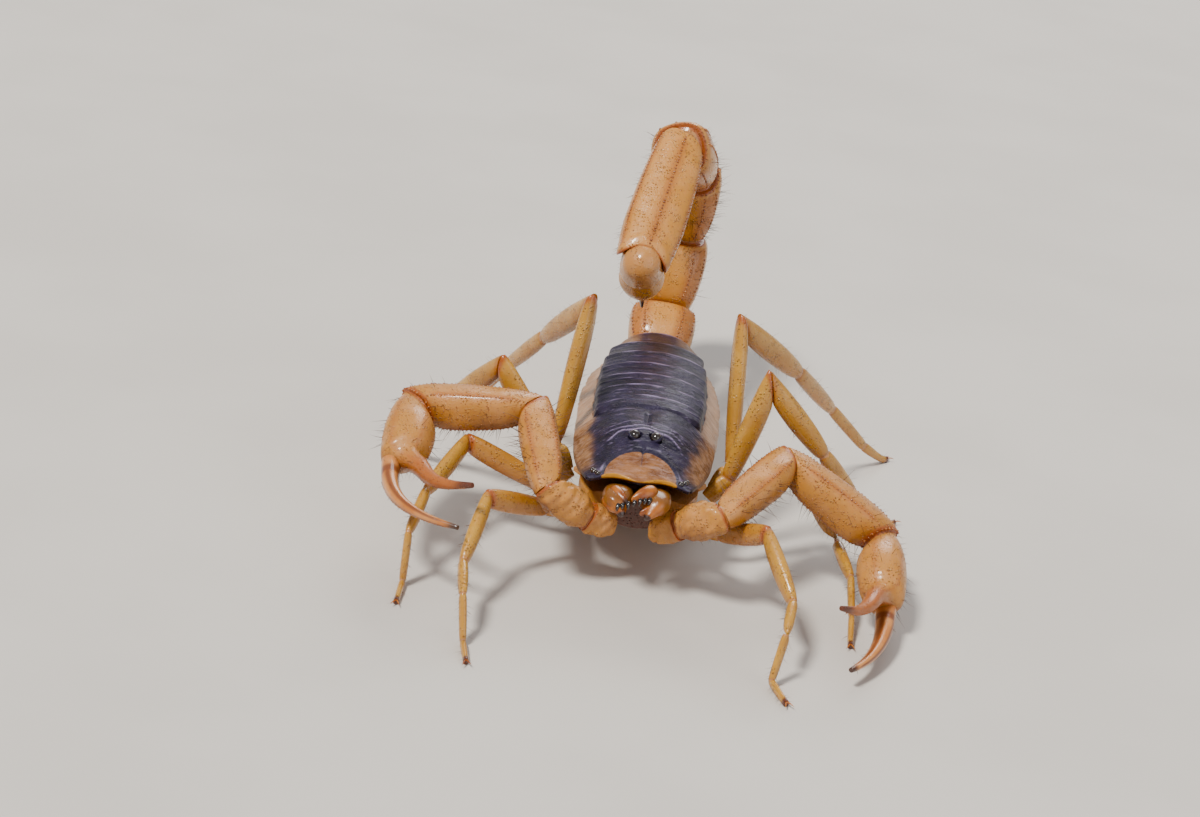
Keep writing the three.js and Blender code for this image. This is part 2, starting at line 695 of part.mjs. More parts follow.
for (const [label, pose] of Object.entries(PALPS)) {
  const { side } = pose;
  const start = inWorld(pose.root);
  const coxaStart = inWorld([side * 1.9, 2.2, -5.6]);
  const coxaWay = start.clone().sub(coxaStart).normalize();
  const kinds = ["trochanter", "femur", "patella"];
  const ways = kinds.map((kind) => heading(side, ...pose[kind]));
  const joints = [start];
  kinds.forEach((kind, i) => {
    joints.push(joints[i].clone().addScaledVector(ways[i], PALP_LENGTHS[kind]));
  });
  const palmWay = heading(side, ...pose.palm);
  const coxa = palpPiece("coxa", [coxaStart, start], undefined, ways[0], upright);
  piece(root, `pedipalp_${label}_coxa`, coxa, amber());
  kinds.forEach((kind, i) => {
    const before = ways[i - 1] ?? coxaWay;
    const after = ways[i + 1] ?? palmWay;
    const shell = palpPiece(kind, [joints[i], joints[i + 1]], before, after, upright);
    piece(root, `pedipalp_${label}_${kind}`, shell, amber());
  });
  const wrist = joints[3];
  const spread = vector(pose.spread);
  spread.addScaledVector(palmWay, -spread.dot(palmWay)).normalize();
  const fixedTip = wrist.clone().add(vector(pose.fixedTip));
  const movableTip = wrist.clone().add(vector(pose.movableTip));
  const palm = hand(wrist, palmWay, spread, fixedTip, ways[2]);
  piece(root, `pedipalp_${label}_hand`, palm, amber());
  const finger = movableFinger(wrist, palmWay, spread, movableTip);
  piece(root, `pedipalp_${label}_finger`, finger, orange());
}

// ---------------------------------------------------------------- centred over the origin
root.updateMatrixWorld(true);
const centre = new THREE.Box3().setFromObject(root).getCenter(new THREE.Vector3());
root.position.set(-centre.x, -centre.y, 0);

export default root;
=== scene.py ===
# %% [markdown]
# # A desert scorpion in its threat stance
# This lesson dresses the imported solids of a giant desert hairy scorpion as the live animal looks:
# hard amber shell plates, a dark violet-slate back, soft cream skin between the plates, glossy black
# eyes and hundreds of bristles. Everything is in metres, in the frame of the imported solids: the head
# looks towards -Y, the animal's left side is +X, and the feet stand at z = 0.

# %% Load the frame
import math
import random

import bpy
import numpy as np
from mathutils import Matrix, Vector
from mathutils.bvhtree import BVHTree


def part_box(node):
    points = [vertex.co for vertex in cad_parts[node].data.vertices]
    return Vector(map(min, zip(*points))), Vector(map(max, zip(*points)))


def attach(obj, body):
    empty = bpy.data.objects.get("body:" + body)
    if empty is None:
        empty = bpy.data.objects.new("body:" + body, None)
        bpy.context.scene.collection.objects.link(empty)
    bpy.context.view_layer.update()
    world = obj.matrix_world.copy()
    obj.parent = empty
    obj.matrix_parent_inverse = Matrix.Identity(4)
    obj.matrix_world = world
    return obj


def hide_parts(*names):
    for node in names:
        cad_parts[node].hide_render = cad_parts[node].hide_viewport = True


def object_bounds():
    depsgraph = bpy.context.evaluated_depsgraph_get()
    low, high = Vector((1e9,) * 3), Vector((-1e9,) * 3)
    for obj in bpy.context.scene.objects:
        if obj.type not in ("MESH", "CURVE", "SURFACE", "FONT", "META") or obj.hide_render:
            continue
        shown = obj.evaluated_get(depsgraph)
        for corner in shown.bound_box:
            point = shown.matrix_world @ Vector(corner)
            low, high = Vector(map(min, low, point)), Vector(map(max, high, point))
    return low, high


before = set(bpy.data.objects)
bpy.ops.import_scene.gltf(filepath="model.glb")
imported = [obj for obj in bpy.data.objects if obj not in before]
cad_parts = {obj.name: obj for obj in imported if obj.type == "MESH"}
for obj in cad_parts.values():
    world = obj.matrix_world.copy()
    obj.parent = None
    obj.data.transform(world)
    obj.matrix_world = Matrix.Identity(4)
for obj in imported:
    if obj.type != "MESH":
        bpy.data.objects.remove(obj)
CAD_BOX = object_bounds()
MM = 0.001
LOW, HIGH = Vector(CAD_BOX[0]), Vector(CAD_BOX[1])
print("solids", len(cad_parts), "box in mm", [round(v / MM, 1) for v in HIGH - LOW])

# %% [markdown]
# ## The camera
# The camera comes first, because it decides how fine each piece has to be. It looks down on the
# animal from the front, a hand's breadth above the floor, and is rolled a little, as a camera held
# by hand is. Its lens is written as a focal length in pixels of a 1200 pixel wide frame, which
# Blender's millimetre lens on a 36 mm sensor follows from.

# %% Camera
IMAGE_WIDTH = 1200
FOCAL_PIXELS = 2424
SENSOR_WIDTH = 36
CAMERA_PLACE = Vector((0.5, -235.26, 107.6)) * MM
PAN, TILT, ROLL = (math.radians(angle) for angle in (-1.35, -22.66, 7.28))


def camera_axes():
    ahead = Vector((math.sin(PAN) * math.cos(TILT), math.cos(PAN) * math.cos(TILT), math.sin(TILT)))
    level = ahead.cross(Vector((0, 0, 1))).normalized()
    upright = level.cross(ahead)
    right = math.cos(ROLL) * level + math.sin(ROLL) * upright
    top = -math.sin(ROLL) * level + math.cos(ROLL) * upright
    return right, top, -ahead


camera_data = bpy.data.cameras.new("camera")
camera_data.sensor_width = SENSOR_WIDTH
camera_data.lens = FOCAL_PIXELS / IMAGE_WIDTH * SENSOR_WIDTH
camera_data.clip_start = 0.01
camera = bpy.data.objects.new("camera", camera_data)
bpy.context.scene.collection.objects.link(camera)
camera.matrix_world = Matrix.Translation(CAMERA_PLACE) @ Matrix(camera_axes()).transposed().to_4x4()
bpy.context.scene.camera = camera
print("lens in mm", round(camera_data.lens, 2))

# %% [markdown]
# ## Working as by hand
# Blender's operators act on whatever is selected, so each step starts by deselecting everything.
# These few helpers put one piece in hand, open and close edit mode, and select points, edges or
# faces by a test of their place. The rest of the lesson is written with them.

# %% Helpers for working by hand
def deselect():
    if bpy.context.mode == "EDIT_MESH":
        bpy.ops.object.mode_set(mode="OBJECT")
    bpy.ops.object.select_all(action="DESELECT")


def take(piece):
    deselect()
    piece.select_set(True)
    bpy.context.view_layer.objects.active = piece


def open_mesh(piece, kind="VERT"):
    take(piece)
    bpy.ops.object.mode_set(mode="EDIT")
    bpy.ops.mesh.select_mode(type=kind)


def close_mesh():
    bpy.ops.object.mode_set(mode="OBJECT")


def choose(piece, kind, test):
    """Selects just those vertices, edges or faces of the piece that pass the test, and counts them."""
    open_mesh(piece, kind)
    bpy.ops.mesh.select_all(action="DESELECT")
    close_mesh()
    parts = {"VERT": piece.data.vertices, "EDGE": piece.data.edges, "FACE": piece.data.polygons}[kind]
    count = 0
    for part in parts:
        part.select = bool(test(part))
        count += part.select
    open_mesh(piece, kind)
    return count


def apply(piece, kind, **settings):
    take(piece)
    modifier = piece.modifiers.new(kind.lower(), kind)
    for key, value in settings.items():
        setattr(modifier, key, value)
    bpy.ops.object.modifier_apply(modifier=modifier.name)


def refine(piece, levels):
    apply(piece, "SUBSURF", levels=levels, render_levels=levels)


def smooth(piece, angle=50):
    take(piece)
    bpy.ops.object.shade_smooth_by_angle(angle=math.radians(angle))


def join(name, pieces):
    deselect()
    for piece in pieces:
        piece.select_set(True)
    bpy.context.view_layer.objects.active = pieces[0]
    bpy.ops.object.join()
    pieces[0].name = name
    pieces[0].data.name = name
    return pieces[0]


def settle(piece):
    """Puts the piece's place into its mesh, so that its object sits at the origin."""
    take(piece)
    bpy.ops.object.transform_apply(location=True, rotation=True, scale=True)


def set_points(piece, points):
    piece.data.vertices.foreach_set("co", np.asarray(points, np.float32).ravel())
    piece.data.update()


def points_of(piece):
    points = np.empty(len(piece.data.vertices) * 3)
    piece.data.vertices.foreach_get("co", points)
    return points.reshape(-1, 3)


def normals_of(piece):
    normals = np.empty(len(piece.data.vertices) * 3)
    piece.data.vertices.foreach_get("normal", normals)
    return normals.reshape(-1, 3)


def paint(piece, name, values):
    """Stores one number for each vertex, which a material reads back by its name."""
    layer = piece.data.attributes.get(name) or piece.data.attributes.new(name, "FLOAT", "POINT")
    layer.data.foreach_set("value", np.asarray(values, np.float32))


def smoothstep(value, low, high):
    share = np.clip((value - low) / (high - low), 0, 1)
    return share * share * (3 - 2 * share)


# %% [markdown]
# ## Copies of the solids
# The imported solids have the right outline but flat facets. A copy of one is loose triangles, so its
# doubles are merged first. Most pieces of a scorpion are tubes, and the copies of those are read as
# rings: starting from the middle of one end cap, each step along the edges reaches the next ring.
# Knowing the rings, the diagonals can be dissolved, which leaves clean quads for a subdivision
# surface, and bristles or granules can be set along a tube by place and angle.

# %% Copies of the solids, and their rings
MERGE = 1e-6
made = []


def copy_of(node, name=None):
    name = name or "shell_" + node
    piece = bpy.data.objects.new(name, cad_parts[node].data.copy())
    bpy.context.scene.collection.objects.link(piece)
    piece.data.name = name
    piece.data.materials.clear()
    open_mesh(piece)
    bpy.ops.mesh.select_all(action="SELECT")
    bpy.ops.mesh.customdata_custom_splitnormals_clear()
    bpy.ops.mesh.remove_doubles(threshold=MERGE)
    bpy.ops.mesh.normals_make_consistent(inside=False)
    close_mesh()
    return piece


def rings_of(piece, start, up):
    """Vertex numbers of each ring, from the cap nearest start; column 0 is the one that lies most upwards."""
    points = points_of(piece)
    links = [set() for _ in points]
    for edge in piece.data.edges:
        a, b = edge.vertices
        links[a].add(b)
        links[b].add(a)

    def bulge(i):
        fan = points[[i, *links[i]]]
        return np.linalg.svd(fan - fan.mean(axis=0))[1][2]

    busy = sorted(range(len(points)), key=lambda i: -len(links[i]))[:12]
    hubs = sorted([i for i in busy if len(links[i]) > 7], key=bulge)[:2]
    hub = min(hubs, key=lambda i: np.linalg.norm(points[i] - np.array(start)))
    seen = {hub}
    level = [hub]
    levels = []
    while level:
        levels.append(level)
        following = {other for i in level for other in links[i]} - seen
        seen |= following
        level = sorted(following)
    centres = [points[level].mean(axis=0) for level in levels]
    rings = []
    reference = np.array(up, float)
    for place, level in enumerate(levels[1:-1], 1):
        way = centres[place + 1] - centres[place - 1]
        way /= np.linalg.norm(way)
        reference = reference - way * reference.dot(way)
        reference /= np.linalg.norm(reference)
        flank = np.cross(way, reference)
        spokes = points[level] - centres[place]
        angles = np.arctan2(spokes @ flank, spokes @ reference)
        first = np.abs(angles).argmin()
        turns = (angles - angles[first]) % (2 * math.pi)
        turns[first] = 0
        turns[turns > 2 * math.pi - 0.02] = 0
        rings.append([level[i] for i in np.argsort(turns)])
        reference = spokes[first] / np.linalg.norm(spokes[first])
    return rings


def clean_tube(piece, rings):
    """Dissolves the diagonals of a tube, which leaves one quad between each two rings and columns."""
    place = {v: (k, j) for k, ring in enumerate(rings) for j, v in enumerate(ring)}

    def is_diagonal(edge):
        ends = [place.get(v) for v in edge.vertices]
        if None in ends:
            return False
        (k0, j0), (k1, j1) = ends
        return k0 != k1 and j0 != j1

    choose(piece, "EDGE", is_diagonal)
    bpy.ops.mesh.dissolve_edges(use_verts=False, use_face_split=False)
    close_mesh()


# %% [markdown]
# ## Colours and finishes
# Cuticle is a hard, slightly clear skin. Light goes a little way in, so the material has some
# subsurface scattering, and its waxy surface gives a soft gloss with a sharper coat over it. What
# several finishes share is made once as a node group: a slow blotchy drift between two colours, and
# fine grains that raise the surface. The groups only put out colours, masks and heights; each
# material keeps its own Principled BSDF.

# %% Helpers for shader nodes
def add(tree, kind, inputs=None, **settings):
    node = tree.nodes.new("ShaderNode" + kind)
    for key, value in settings.items():
        setattr(node, key, value)
    for key, value in (inputs or {}).items():
        if isinstance(value, bpy.types.NodeSocket):
            tree.links.new(value, node.inputs[key])
        else:
            node.inputs[key].default_value = value
    return node


def mixed(tree, share, first, second):
    """The socket of a colour between two others."""
    colours = {6: first, 7: second}
    return add(tree, "Mix", {0: share, **colours}, data_type="RGBA").outputs[2]


def maths(tree, operation, first, second=0.0):
    return add(tree, "Math", {0: first, 1: second}, operation=operation).outputs[0]


def stretch(tree, value, low, high, start=0.0, end=1.0):
    """Maps a number from one range to another, easing in and out."""
    ends = {"Value": value, "From Min": low, "From Max": high, "To Min": start, "To Max": end}
    return add(tree, "MapRange", ends, interpolation_type="SMOOTHSTEP").outputs[0]


def read(tree, name):
    return add(tree, "Attribute", attribute_name=name).outputs["Fac"]


def opaque(colour):
    return (*colour, 1)


def shader_group(name, inputs, outputs):
    tree = bpy.data.node_groups.new(name, "ShaderNodeTree")
    for label, kind in inputs:
        tree.interface.new_socket(label, in_out="INPUT", socket_type="NodeSocket" + kind)
    for label, kind in outputs:
        tree.interface.new_socket(label, in_out="OUTPUT", socket_type="NodeSocket" + kind)
    start = tree.nodes.new("NodeGroupInput")
    end = tree.nodes.new("NodeGroupOutput")
    return tree, start.outputs, end.inputs


def place_group(tree, group, inputs):
    node = tree.nodes.new("ShaderNodeGroup")
    node.node_tree = group
    for key, value in inputs.items():
        if isinstance(value, bpy.types.NodeSocket):
            tree.links.new(value, node.inputs[key])
        else:
            node.inputs[key].default_value = value
    return node.outputs


# %% Group: a slow drift between two colours
drift, drift_in, drift_out = shader_group(
    "colour_drift",
    [("Colour", "Color"), ("Other", "Color"), ("Scale", "Float"), ("Share", "Float")],
    [("Colour", "Color"), ("Mask", "Float")],
)
drift_place = add(drift, "TexCoord").outputs["Object"]
drift_noise = add(drift, "TexNoise", {"Vector": drift_place, "Scale": drift_in["Scale"], "Detail": 6.0})
drift_mask = stretch(drift, drift_noise.outputs["Fac"], 0.35, 0.65)
drift_share = maths(drift, "MULTIPLY", drift_mask, drift_in["Share"])
drift.links.new(mixed(drift, drift_share, drift_in["Colour"], drift_in["Other"]), drift_out["Colour"])
drift.links.new(drift_mask, drift_out["Mask"])
print("group", drift.name, "with", len(drift.nodes), "nodes")

# %% Group: fine grains on the cuticle
grain, grain_in, grain_out = shader_group(
    "cuticle_grain",
    [("Scale", "Float"), ("Share", "Float")],
    [("Height", "Float"), ("Grains", "Float")],
)
grain_place = add(grain, "TexCoord").outputs["Object"]
grain_cells = add(grain, "TexVoronoi", {"Vector": grain_place, "Scale": grain_in["Scale"]})
grain_domes = stretch(grain, grain_cells.outputs["Distance"], 0.0, 0.42, 1.0, 0.0)
grain_fine = add(grain, "TexNoise", {"Vector": grain_place, "Scale": 5200.0, "Detail": 4.0})
grain_where = add(grain, "TexNoise", {"Vector": grain_place, "Scale": 700.0, "Detail": 2.0})
grain_patch = stretch(grain, grain_where.outputs["Fac"], 0.42, 0.6)
grain_kept = maths(grain, "MULTIPLY", maths(grain, "MULTIPLY", grain_domes, grain_patch), grain_in["Share"])
grain_soft = maths(grain, "MULTIPLY", grain_fine.outputs["Fac"], 0.35)
grain.links.new(maths(grain, "ADD", grain_kept, grain_soft), grain_out["Height"])
grain.links.new(grain_kept, grain_out["Grains"])
print("group", grain.name, "with", len(grain.nodes), "nodes")

# %% Group: how far a face looks up
# The finishes mix a lighter and a darker colour by this, so light and shade are painted: lighter on faces that look up,
# darker on faces that look down.
facing, facing_in, facing_out = shader_group("facing_up", [], [("Up", "Float")])
facing_normal = add(facing, "NewGeometry").outputs["Normal"]
facing_height = add(facing, "SeparateXYZ", {0: facing_normal}).outputs["Z"]
facing.links.new(stretch(facing, facing_height, -0.55, 0.5), facing_out["Up"])

# %% [markdown]
# ## Amber cuticle
# The legs, claws and tail are the colour of weak tea. Light and shade are painted on top of that by which way a face
# looks: faces that look up are a matt pinkish tan, a painted highlight, and faces that look down a deep amber, painted
# shade. The plates' rims
# and keels are orange-brown, and where two plates meet a pale membrane shows. Those places are
# painted on the meshes as numbers named rim, keel and joint, which the material reads back.

# %% Amber cuticle
def finish(name, roughness, coat=0.0, scatter=0.0, scatter_depth=0.6):
    """A new material and the sockets of its Principled BSDF. These four values are the same all over."""
    material = bpy.data.materials.new(name)
    material.use_nodes = True
    sockets = material.node_tree.nodes["Principled BSDF"].inputs
    sockets["Roughness"].default_value = roughness
    sockets["Coat Weight"].default_value = coat
    sockets["Coat Roughness"].default_value = 0.12
    sockets["Subsurface Weight"].default_value = scatter
    sockets["Subsurface Scale"].default_value = scatter_depth * MM
    sockets["Subsurface Radius"].default_value = (1.0, 0.5, 0.2)
    return material, material.node_tree, sockets


def raise_surface(tree, sockets, height, distance, strength=1.0):
    bump = add(tree, "Bump", {"Height": height, "Distance": distance * MM, "Strength": strength})
    tree.links.new(bump.outputs["Normal"], sockets["Normal"])


TAN = (0.46, 0.185, 0.014)
TAN_PINK = (0.55, 0.240, 0.060)
AMBER = (0.43, 0.160, 0.002)
AMBER_DEEP = (0.20, 0.056, 0.002)
RIM_ORANGE = (0.33, 0.075, 0.004)
MEMBRANE = (0.46, 0.20, 0.06)
WARM_ORANGE = (0.36, 0.085, 0.005)
TIP_AND_SHADE_BROWN = (0.10, 0.020, 0.004)


def amber_finish(name, top, top_other, under, under_other, roughness, coat):
    material, tree, sockets = finish(name, roughness, coat, scatter=0.22, scatter_depth=0.7)
    lit_top_drift = place_group(tree, drift, {
        "Colour": opaque(top), "Other": opaque(top_other), "Scale": 420.0, "Share": 0.9})
    shaded_under_drift = place_group(tree, drift, {
        "Colour": opaque(under), "Other": opaque(under_other), "Scale": 300.0, "Share": 0.8})
    # Faces that look up take the top colours and faces that look down the under colours: a painted highlight above,
    # painted shade below.
    up = place_group(tree, facing, {})["Up"]
    body = mixed(tree, up, shaded_under_drift["Colour"], lit_top_drift["Colour"])
    grains = place_group(tree, grain, {"Scale": 3600.0, "Share": 1.0})
    dotted = mixed(tree, maths(tree, "MULTIPLY", grains["Grains"], 0.6), body, opaque(AMBER_DEEP))
    keeled = mixed(tree, stretch(tree, read(tree, "keel"), 0.45, 1.0, 0.0, 0.55), dotted, opaque(RIM_ORANGE))
    rimmed = mixed(tree, stretch(tree, read(tree, "rim"), 0.55, 0.9), keeled, opaque(RIM_ORANGE))
    jointed = mixed(tree, stretch(tree, read(tree, "joint"), 0.3, 0.6), rimmed, opaque(MEMBRANE))
    warmed = mixed(tree, stretch(tree, read(tree, "warm"), 0.0, 1.0, 0.0, 0.85), jointed, opaque(WARM_ORANGE))
    # The tip colour darkens the ends of legs and claws, and on the coxae under the jaws it is painted shade of the
    # mouth.
    tipped = mixed(tree, stretch(tree, read(tree, "tip"), 0.1, 0.9), warmed, opaque(TIP_AND_SHADE_BROWN))
    tree.links.new(tipped, sockets["Base Color"])
    rough = stretch(tree, lit_top_drift["Mask"], 0.0, 1.0, roughness - 0.08, roughness + 0.14)
    tree.links.new(rough, sockets["Roughness"])
    raise_surface(tree, sockets, grains["Height"], 0.15)
    return material


amber_material = amber_finish("amber_cuticle", TAN_PINK, TAN, AMBER, AMBER_DEEP, 0.42, 0.22)
leg_material = amber_finish("leg_cuticle", (0.54, 0.28, 0.036), (0.44, 0.20, 0.014), (0.42, 0.175, 0.004), AMBER, 0.25, 0.5)
tail_material = amber_finish("tail_cuticle", (0.60, 0.27, 0.066), (0.53, 0.215, 0.016), (0.47, 0.180, 0.002), AMBER, 0.34, 0.35)
print("amber finishes", amber_material.name, leg_material.name, tail_material.name)

# %% [markdown]
# ## Slate, cream, orange and black
# The head shield and back plates are waxy violet-slate. Lavender lines are painted where light would catch the fine
# cross ridges and rear edges: painted highlights. The soft skin between the plates is cream and finely wrinkled, with
# painted shade in the valleys of its folds.
# Jaws and finger edges are clear orange-brown, and eyes, teeth and bristles nearly black.

# %% Slate cuticle
SLATE = (0.006, 0.004, 0.013)
SLATE_OTHER = (0.018, 0.012, 0.036)
LAVENDER_HIGHLIGHT = (0.26, 0.20, 0.34)
CRESCENT = (0.27, 0.105, 0.026)
CRESCENT_OTHER = (0.13, 0.040, 0.004)
MARGIN_YELLOW = (0.46, 0.20, 0.010)
PALE_PLATE = (0.32, 0.155, 0.060)
PALE_SHADE = (0.15, 0.058, 0.010)

slate_material, tree, sockets = finish("slate_cuticle", 0.5, coat=0.08, scatter=0.05, scatter_depth=0.4)
sockets["Specular IOR Level"].default_value = 0.30
sockets["Specular Tint"].default_value = (0.88, 0.83, 1.0, 1)
slate_drift = place_group(tree, drift, {
    "Colour": opaque(SLATE), "Other": opaque(SLATE_OTHER), "Scale": 650.0, "Share": 1.0})
place = add(tree, "TexCoord").outputs["Object"]
lengthened = add(tree, "Mapping", {"Vector": place, "Scale": (0.35, 1.0, 1.0)}).outputs[0]
ridges = add(tree, "TexNoise", {"Vector": lengthened, "Scale": 2200.0, "Detail": 4.0}).outputs["Fac"]
# The highest of the fine ridges are painted lavender, as painted highlights.
ridge_highlights = stretch(tree, ridges, 0.58, 0.74, 0.0, 0.35)
lined = mixed(tree, ridge_highlights, slate_drift["Colour"], opaque(LAVENDER_HIGHLIGHT))
# Where the lip number is painted, on rear edges and crests, a painted lavender highlight is laid on.
lip_highlighted = mixed(tree, stretch(tree, read(tree, "lip"), 0.2, 0.9, 0.0, 0.9), lined, opaque(LAVENDER_HIGHLIGHT))
warm = place_group(tree, drift, {
    "Colour": opaque(CRESCENT), "Other": opaque(CRESCENT_OTHER), "Scale": 640.0, "Share": 1.0})
fine_lines = stretch(tree, ridges, 0.45, 0.62, 0.0, 0.35)
warm_lined = mixed(tree, fine_lines, warm["Colour"], opaque((0.38, 0.20, 0.13)))
fronted = mixed(tree, stretch(tree, read(tree, "crescent"), 0.35, 0.7), lip_highlighted, warm_lined)
edged = mixed(tree, stretch(tree, read(tree, "margin"), 0.4, 0.8), fronted, opaque(MARGIN_YELLOW))
pale_body = mixed(tree, slate_drift["Mask"], opaque(PALE_PLATE), opaque(PALE_SHADE))
pale_lined = mixed(tree, fine_lines, pale_body, opaque((0.46, 0.28, 0.19)))
paled = mixed(tree, read(tree, "pale"), edged, pale_lined)
tree.links.new(paled, sockets["Base Color"])
slate_grains = place_group(tree, grain, {"Scale": 2800.0, "Share": 0.8})
slate_height = maths(tree, "ADD", maths(tree, "MULTIPLY", ridges, 1.6), slate_grains["Height"])
raise_surface(tree, sockets, slate_height, 0.09)

# %% Cream skin and belly plates
CREAM = (0.42, 0.22, 0.11)
CREAM_SHADE = (0.24, 0.105, 0.032)
skin_material, tree, sockets = finish("cream_skin", 0.45, coat=0.15, scatter=0.2, scatter_depth=0.8)
skin_drift = place_group(tree, drift, {
    "Colour": opaque(CREAM), "Other": opaque(CREAM_SHADE), "Scale": 380.0, "Share": 0.8})
place = add(tree, "TexCoord").outputs["Object"]
folded = add(tree, "Mapping", {"Vector": place, "Scale": (0.5, 1.0, 0.35)}).outputs[0]
folds = add(tree, "TexNoise", {"Vector": folded, "Scale": 1500.0, "Detail": 5.0, "Distortion": 0.6}).outputs["Fac"]
# The valleys of the folds are painted darker: painted shade in the creases.
creased = mixed(tree, stretch(tree, folds, 0.35, 0.5, 0.45, 0.0), skin_drift["Colour"], opaque((0.34, 0.19, 0.09)))
tree.links.new(creased, sockets["Base Color"])
raise_surface(tree, sockets, folds, 0.22)

belly_material, tree, sockets = finish("belly_cuticle", 0.3, coat=0.3, scatter=0.2)
belly_drift = place_group(tree, drift, {
    "Colour": opaque((0.60, 0.42, 0.22)), "Other": opaque((0.48, 0.29, 0.11)), "Scale": 300.0, "Share": 1.0})
belly_rimmed = mixed(
    tree, stretch(tree, read(tree, "lip"), 0.3, 0.9, 0.0, 0.7), belly_drift["Colour"], opaque(MEMBRANE))
tree.links.new(belly_rimmed, sockets["Base Color"])
belly_grains = place_group(tree, grain, {"Scale": 2400.0, "Share": 0.4})
raise_surface(tree, sockets, belly_grains["Height"], 0.03)

# %% Orange jaws, black eyes, teeth and bristles
orange_material, tree, sockets = finish("orange_cuticle", 0.30, coat=0.32, scatter=0.3, scatter_depth=0.8)
orange_drift = place_group(tree, drift, {
    "Colour": opaque((0.42, 0.125, 0.006)), "Other": opaque((0.22, 0.050, 0.004)), "Scale": 700.0, "Share": 1.0})
# The root number paints the jaws darker at their base: painted shade under the shield's margin.
root_shaded = mixed(tree, read(tree, "root"), orange_drift["Colour"], opaque((0.20, 0.070, 0.007)))
# The tip number makes the sting's point and the foot claws nearly black, and on the jaws it is painted shade of the
# mouth.
darkened = mixed(tree, stretch(tree, read(tree, "tip"), 0.3, 0.95), root_shaded, opaque((0.03, 0.010, 0.006)))
tree.links.new(darkened, sockets["Base Color"])
orange_grains = place_group(tree, grain, {"Scale": 2400.0, "Share": 0.5})
raise_surface(tree, sockets, orange_grains["Height"], 0.06)

finger_material, tree, sockets = finish("finger_cuticle", 0.28, coat=0.4, scatter=0.25, scatter_depth=0.6)
finger_drift = place_group(tree, drift, {
    "Colour": opaque((0.60, 0.25, 0.07)), "Other": opaque((0.48, 0.155, 0.022)), "Scale": 420.0, "Share": 1.0})
finger_edge = mixed(
    tree, stretch(tree, read(tree, "keel"), 0.3, 0.9, 0.0, 0.85), finger_drift["Colour"], opaque((0.16, 0.035, 0.008)))
finger_tip = mixed(tree, stretch(tree, read(tree, "tip"), 0.6, 1.0), finger_edge, opaque((0.05, 0.016, 0.008)))
tree.links.new(finger_tip, sockets["Base Color"])
finger_grains = place_group(tree, grain, {"Scale": 3000.0, "Share": 0.6})
raise_surface(tree, sockets, finger_grains["Height"], 0.03)

black_material, tree, sockets = finish("black_cuticle", 0.07, coat=0.9)
black_drift = place_group(tree, drift, {
    "Colour": opaque((0.006, 0.005, 0.006)), "Other": opaque((0.022, 0.010, 0.006)), "Scale": 900.0, "Share": 1.0})
tree.links.new(black_drift["Colour"], sockets["Base Color"])

bristle_material, tree, sockets = finish("bristle", 0.35, coat=0.2)
bristle_colour = mixed(
    tree, read(tree, "along"), opaque((0.055, 0.018, 0.008)), opaque((0.16, 0.060, 0.020)))
tree.links.new(bristle_colour, sockets["Base Color"])

granule_material, tree, sockets = finish("granule", 0.3, coat=0.3, scatter=0.1)
granule_drift = place_group(tree, drift, {
    "Colour": opaque((0.42, 0.15, 0.03)), "Other": opaque((0.20, 0.055, 0.012)), "Scale": 900.0, "Share": 1.0})
tree.links.new(granule_drift["Colour"], sockets["Base Color"])
print("materials", len(bpy.data.materials))

# %% [markdown]
# ## Tubes: tail rings, claw arms and legs
# Each hard tube of the animal is a plate rolled round, with a thickened rim at its far end and a
# pale membrane that comes out of that rim and goes into the next tube. The copy of the solid gets
# sharp creases along its keels and rims, its far cap is inset and drawn out to make the membrane,
# and a subdivision surface then rounds everything that isn't creased.

# %% Making one tube
tubes = {}
RIM_INSET = 0.12
MEMBRANE_REACH = 0.42 * MM


def finished(piece, material, slot, *nodes):
    """Gives the piece its material, and says what it rides on and what it replaces."""
    piece.data.materials.clear()
    piece.data.materials.append(material)
    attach(piece, "root")
    if nodes:
        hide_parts(*nodes)
    made.append(piece)
    return piece


def unit(vector):
    return vector / np.linalg.norm(vector)


def plane_of(points):
    """The centre and unit normal of a nearly flat ring."""
    centre = points.mean(axis=0)
    return centre, np.linalg.svd(points - centre)[2][2]


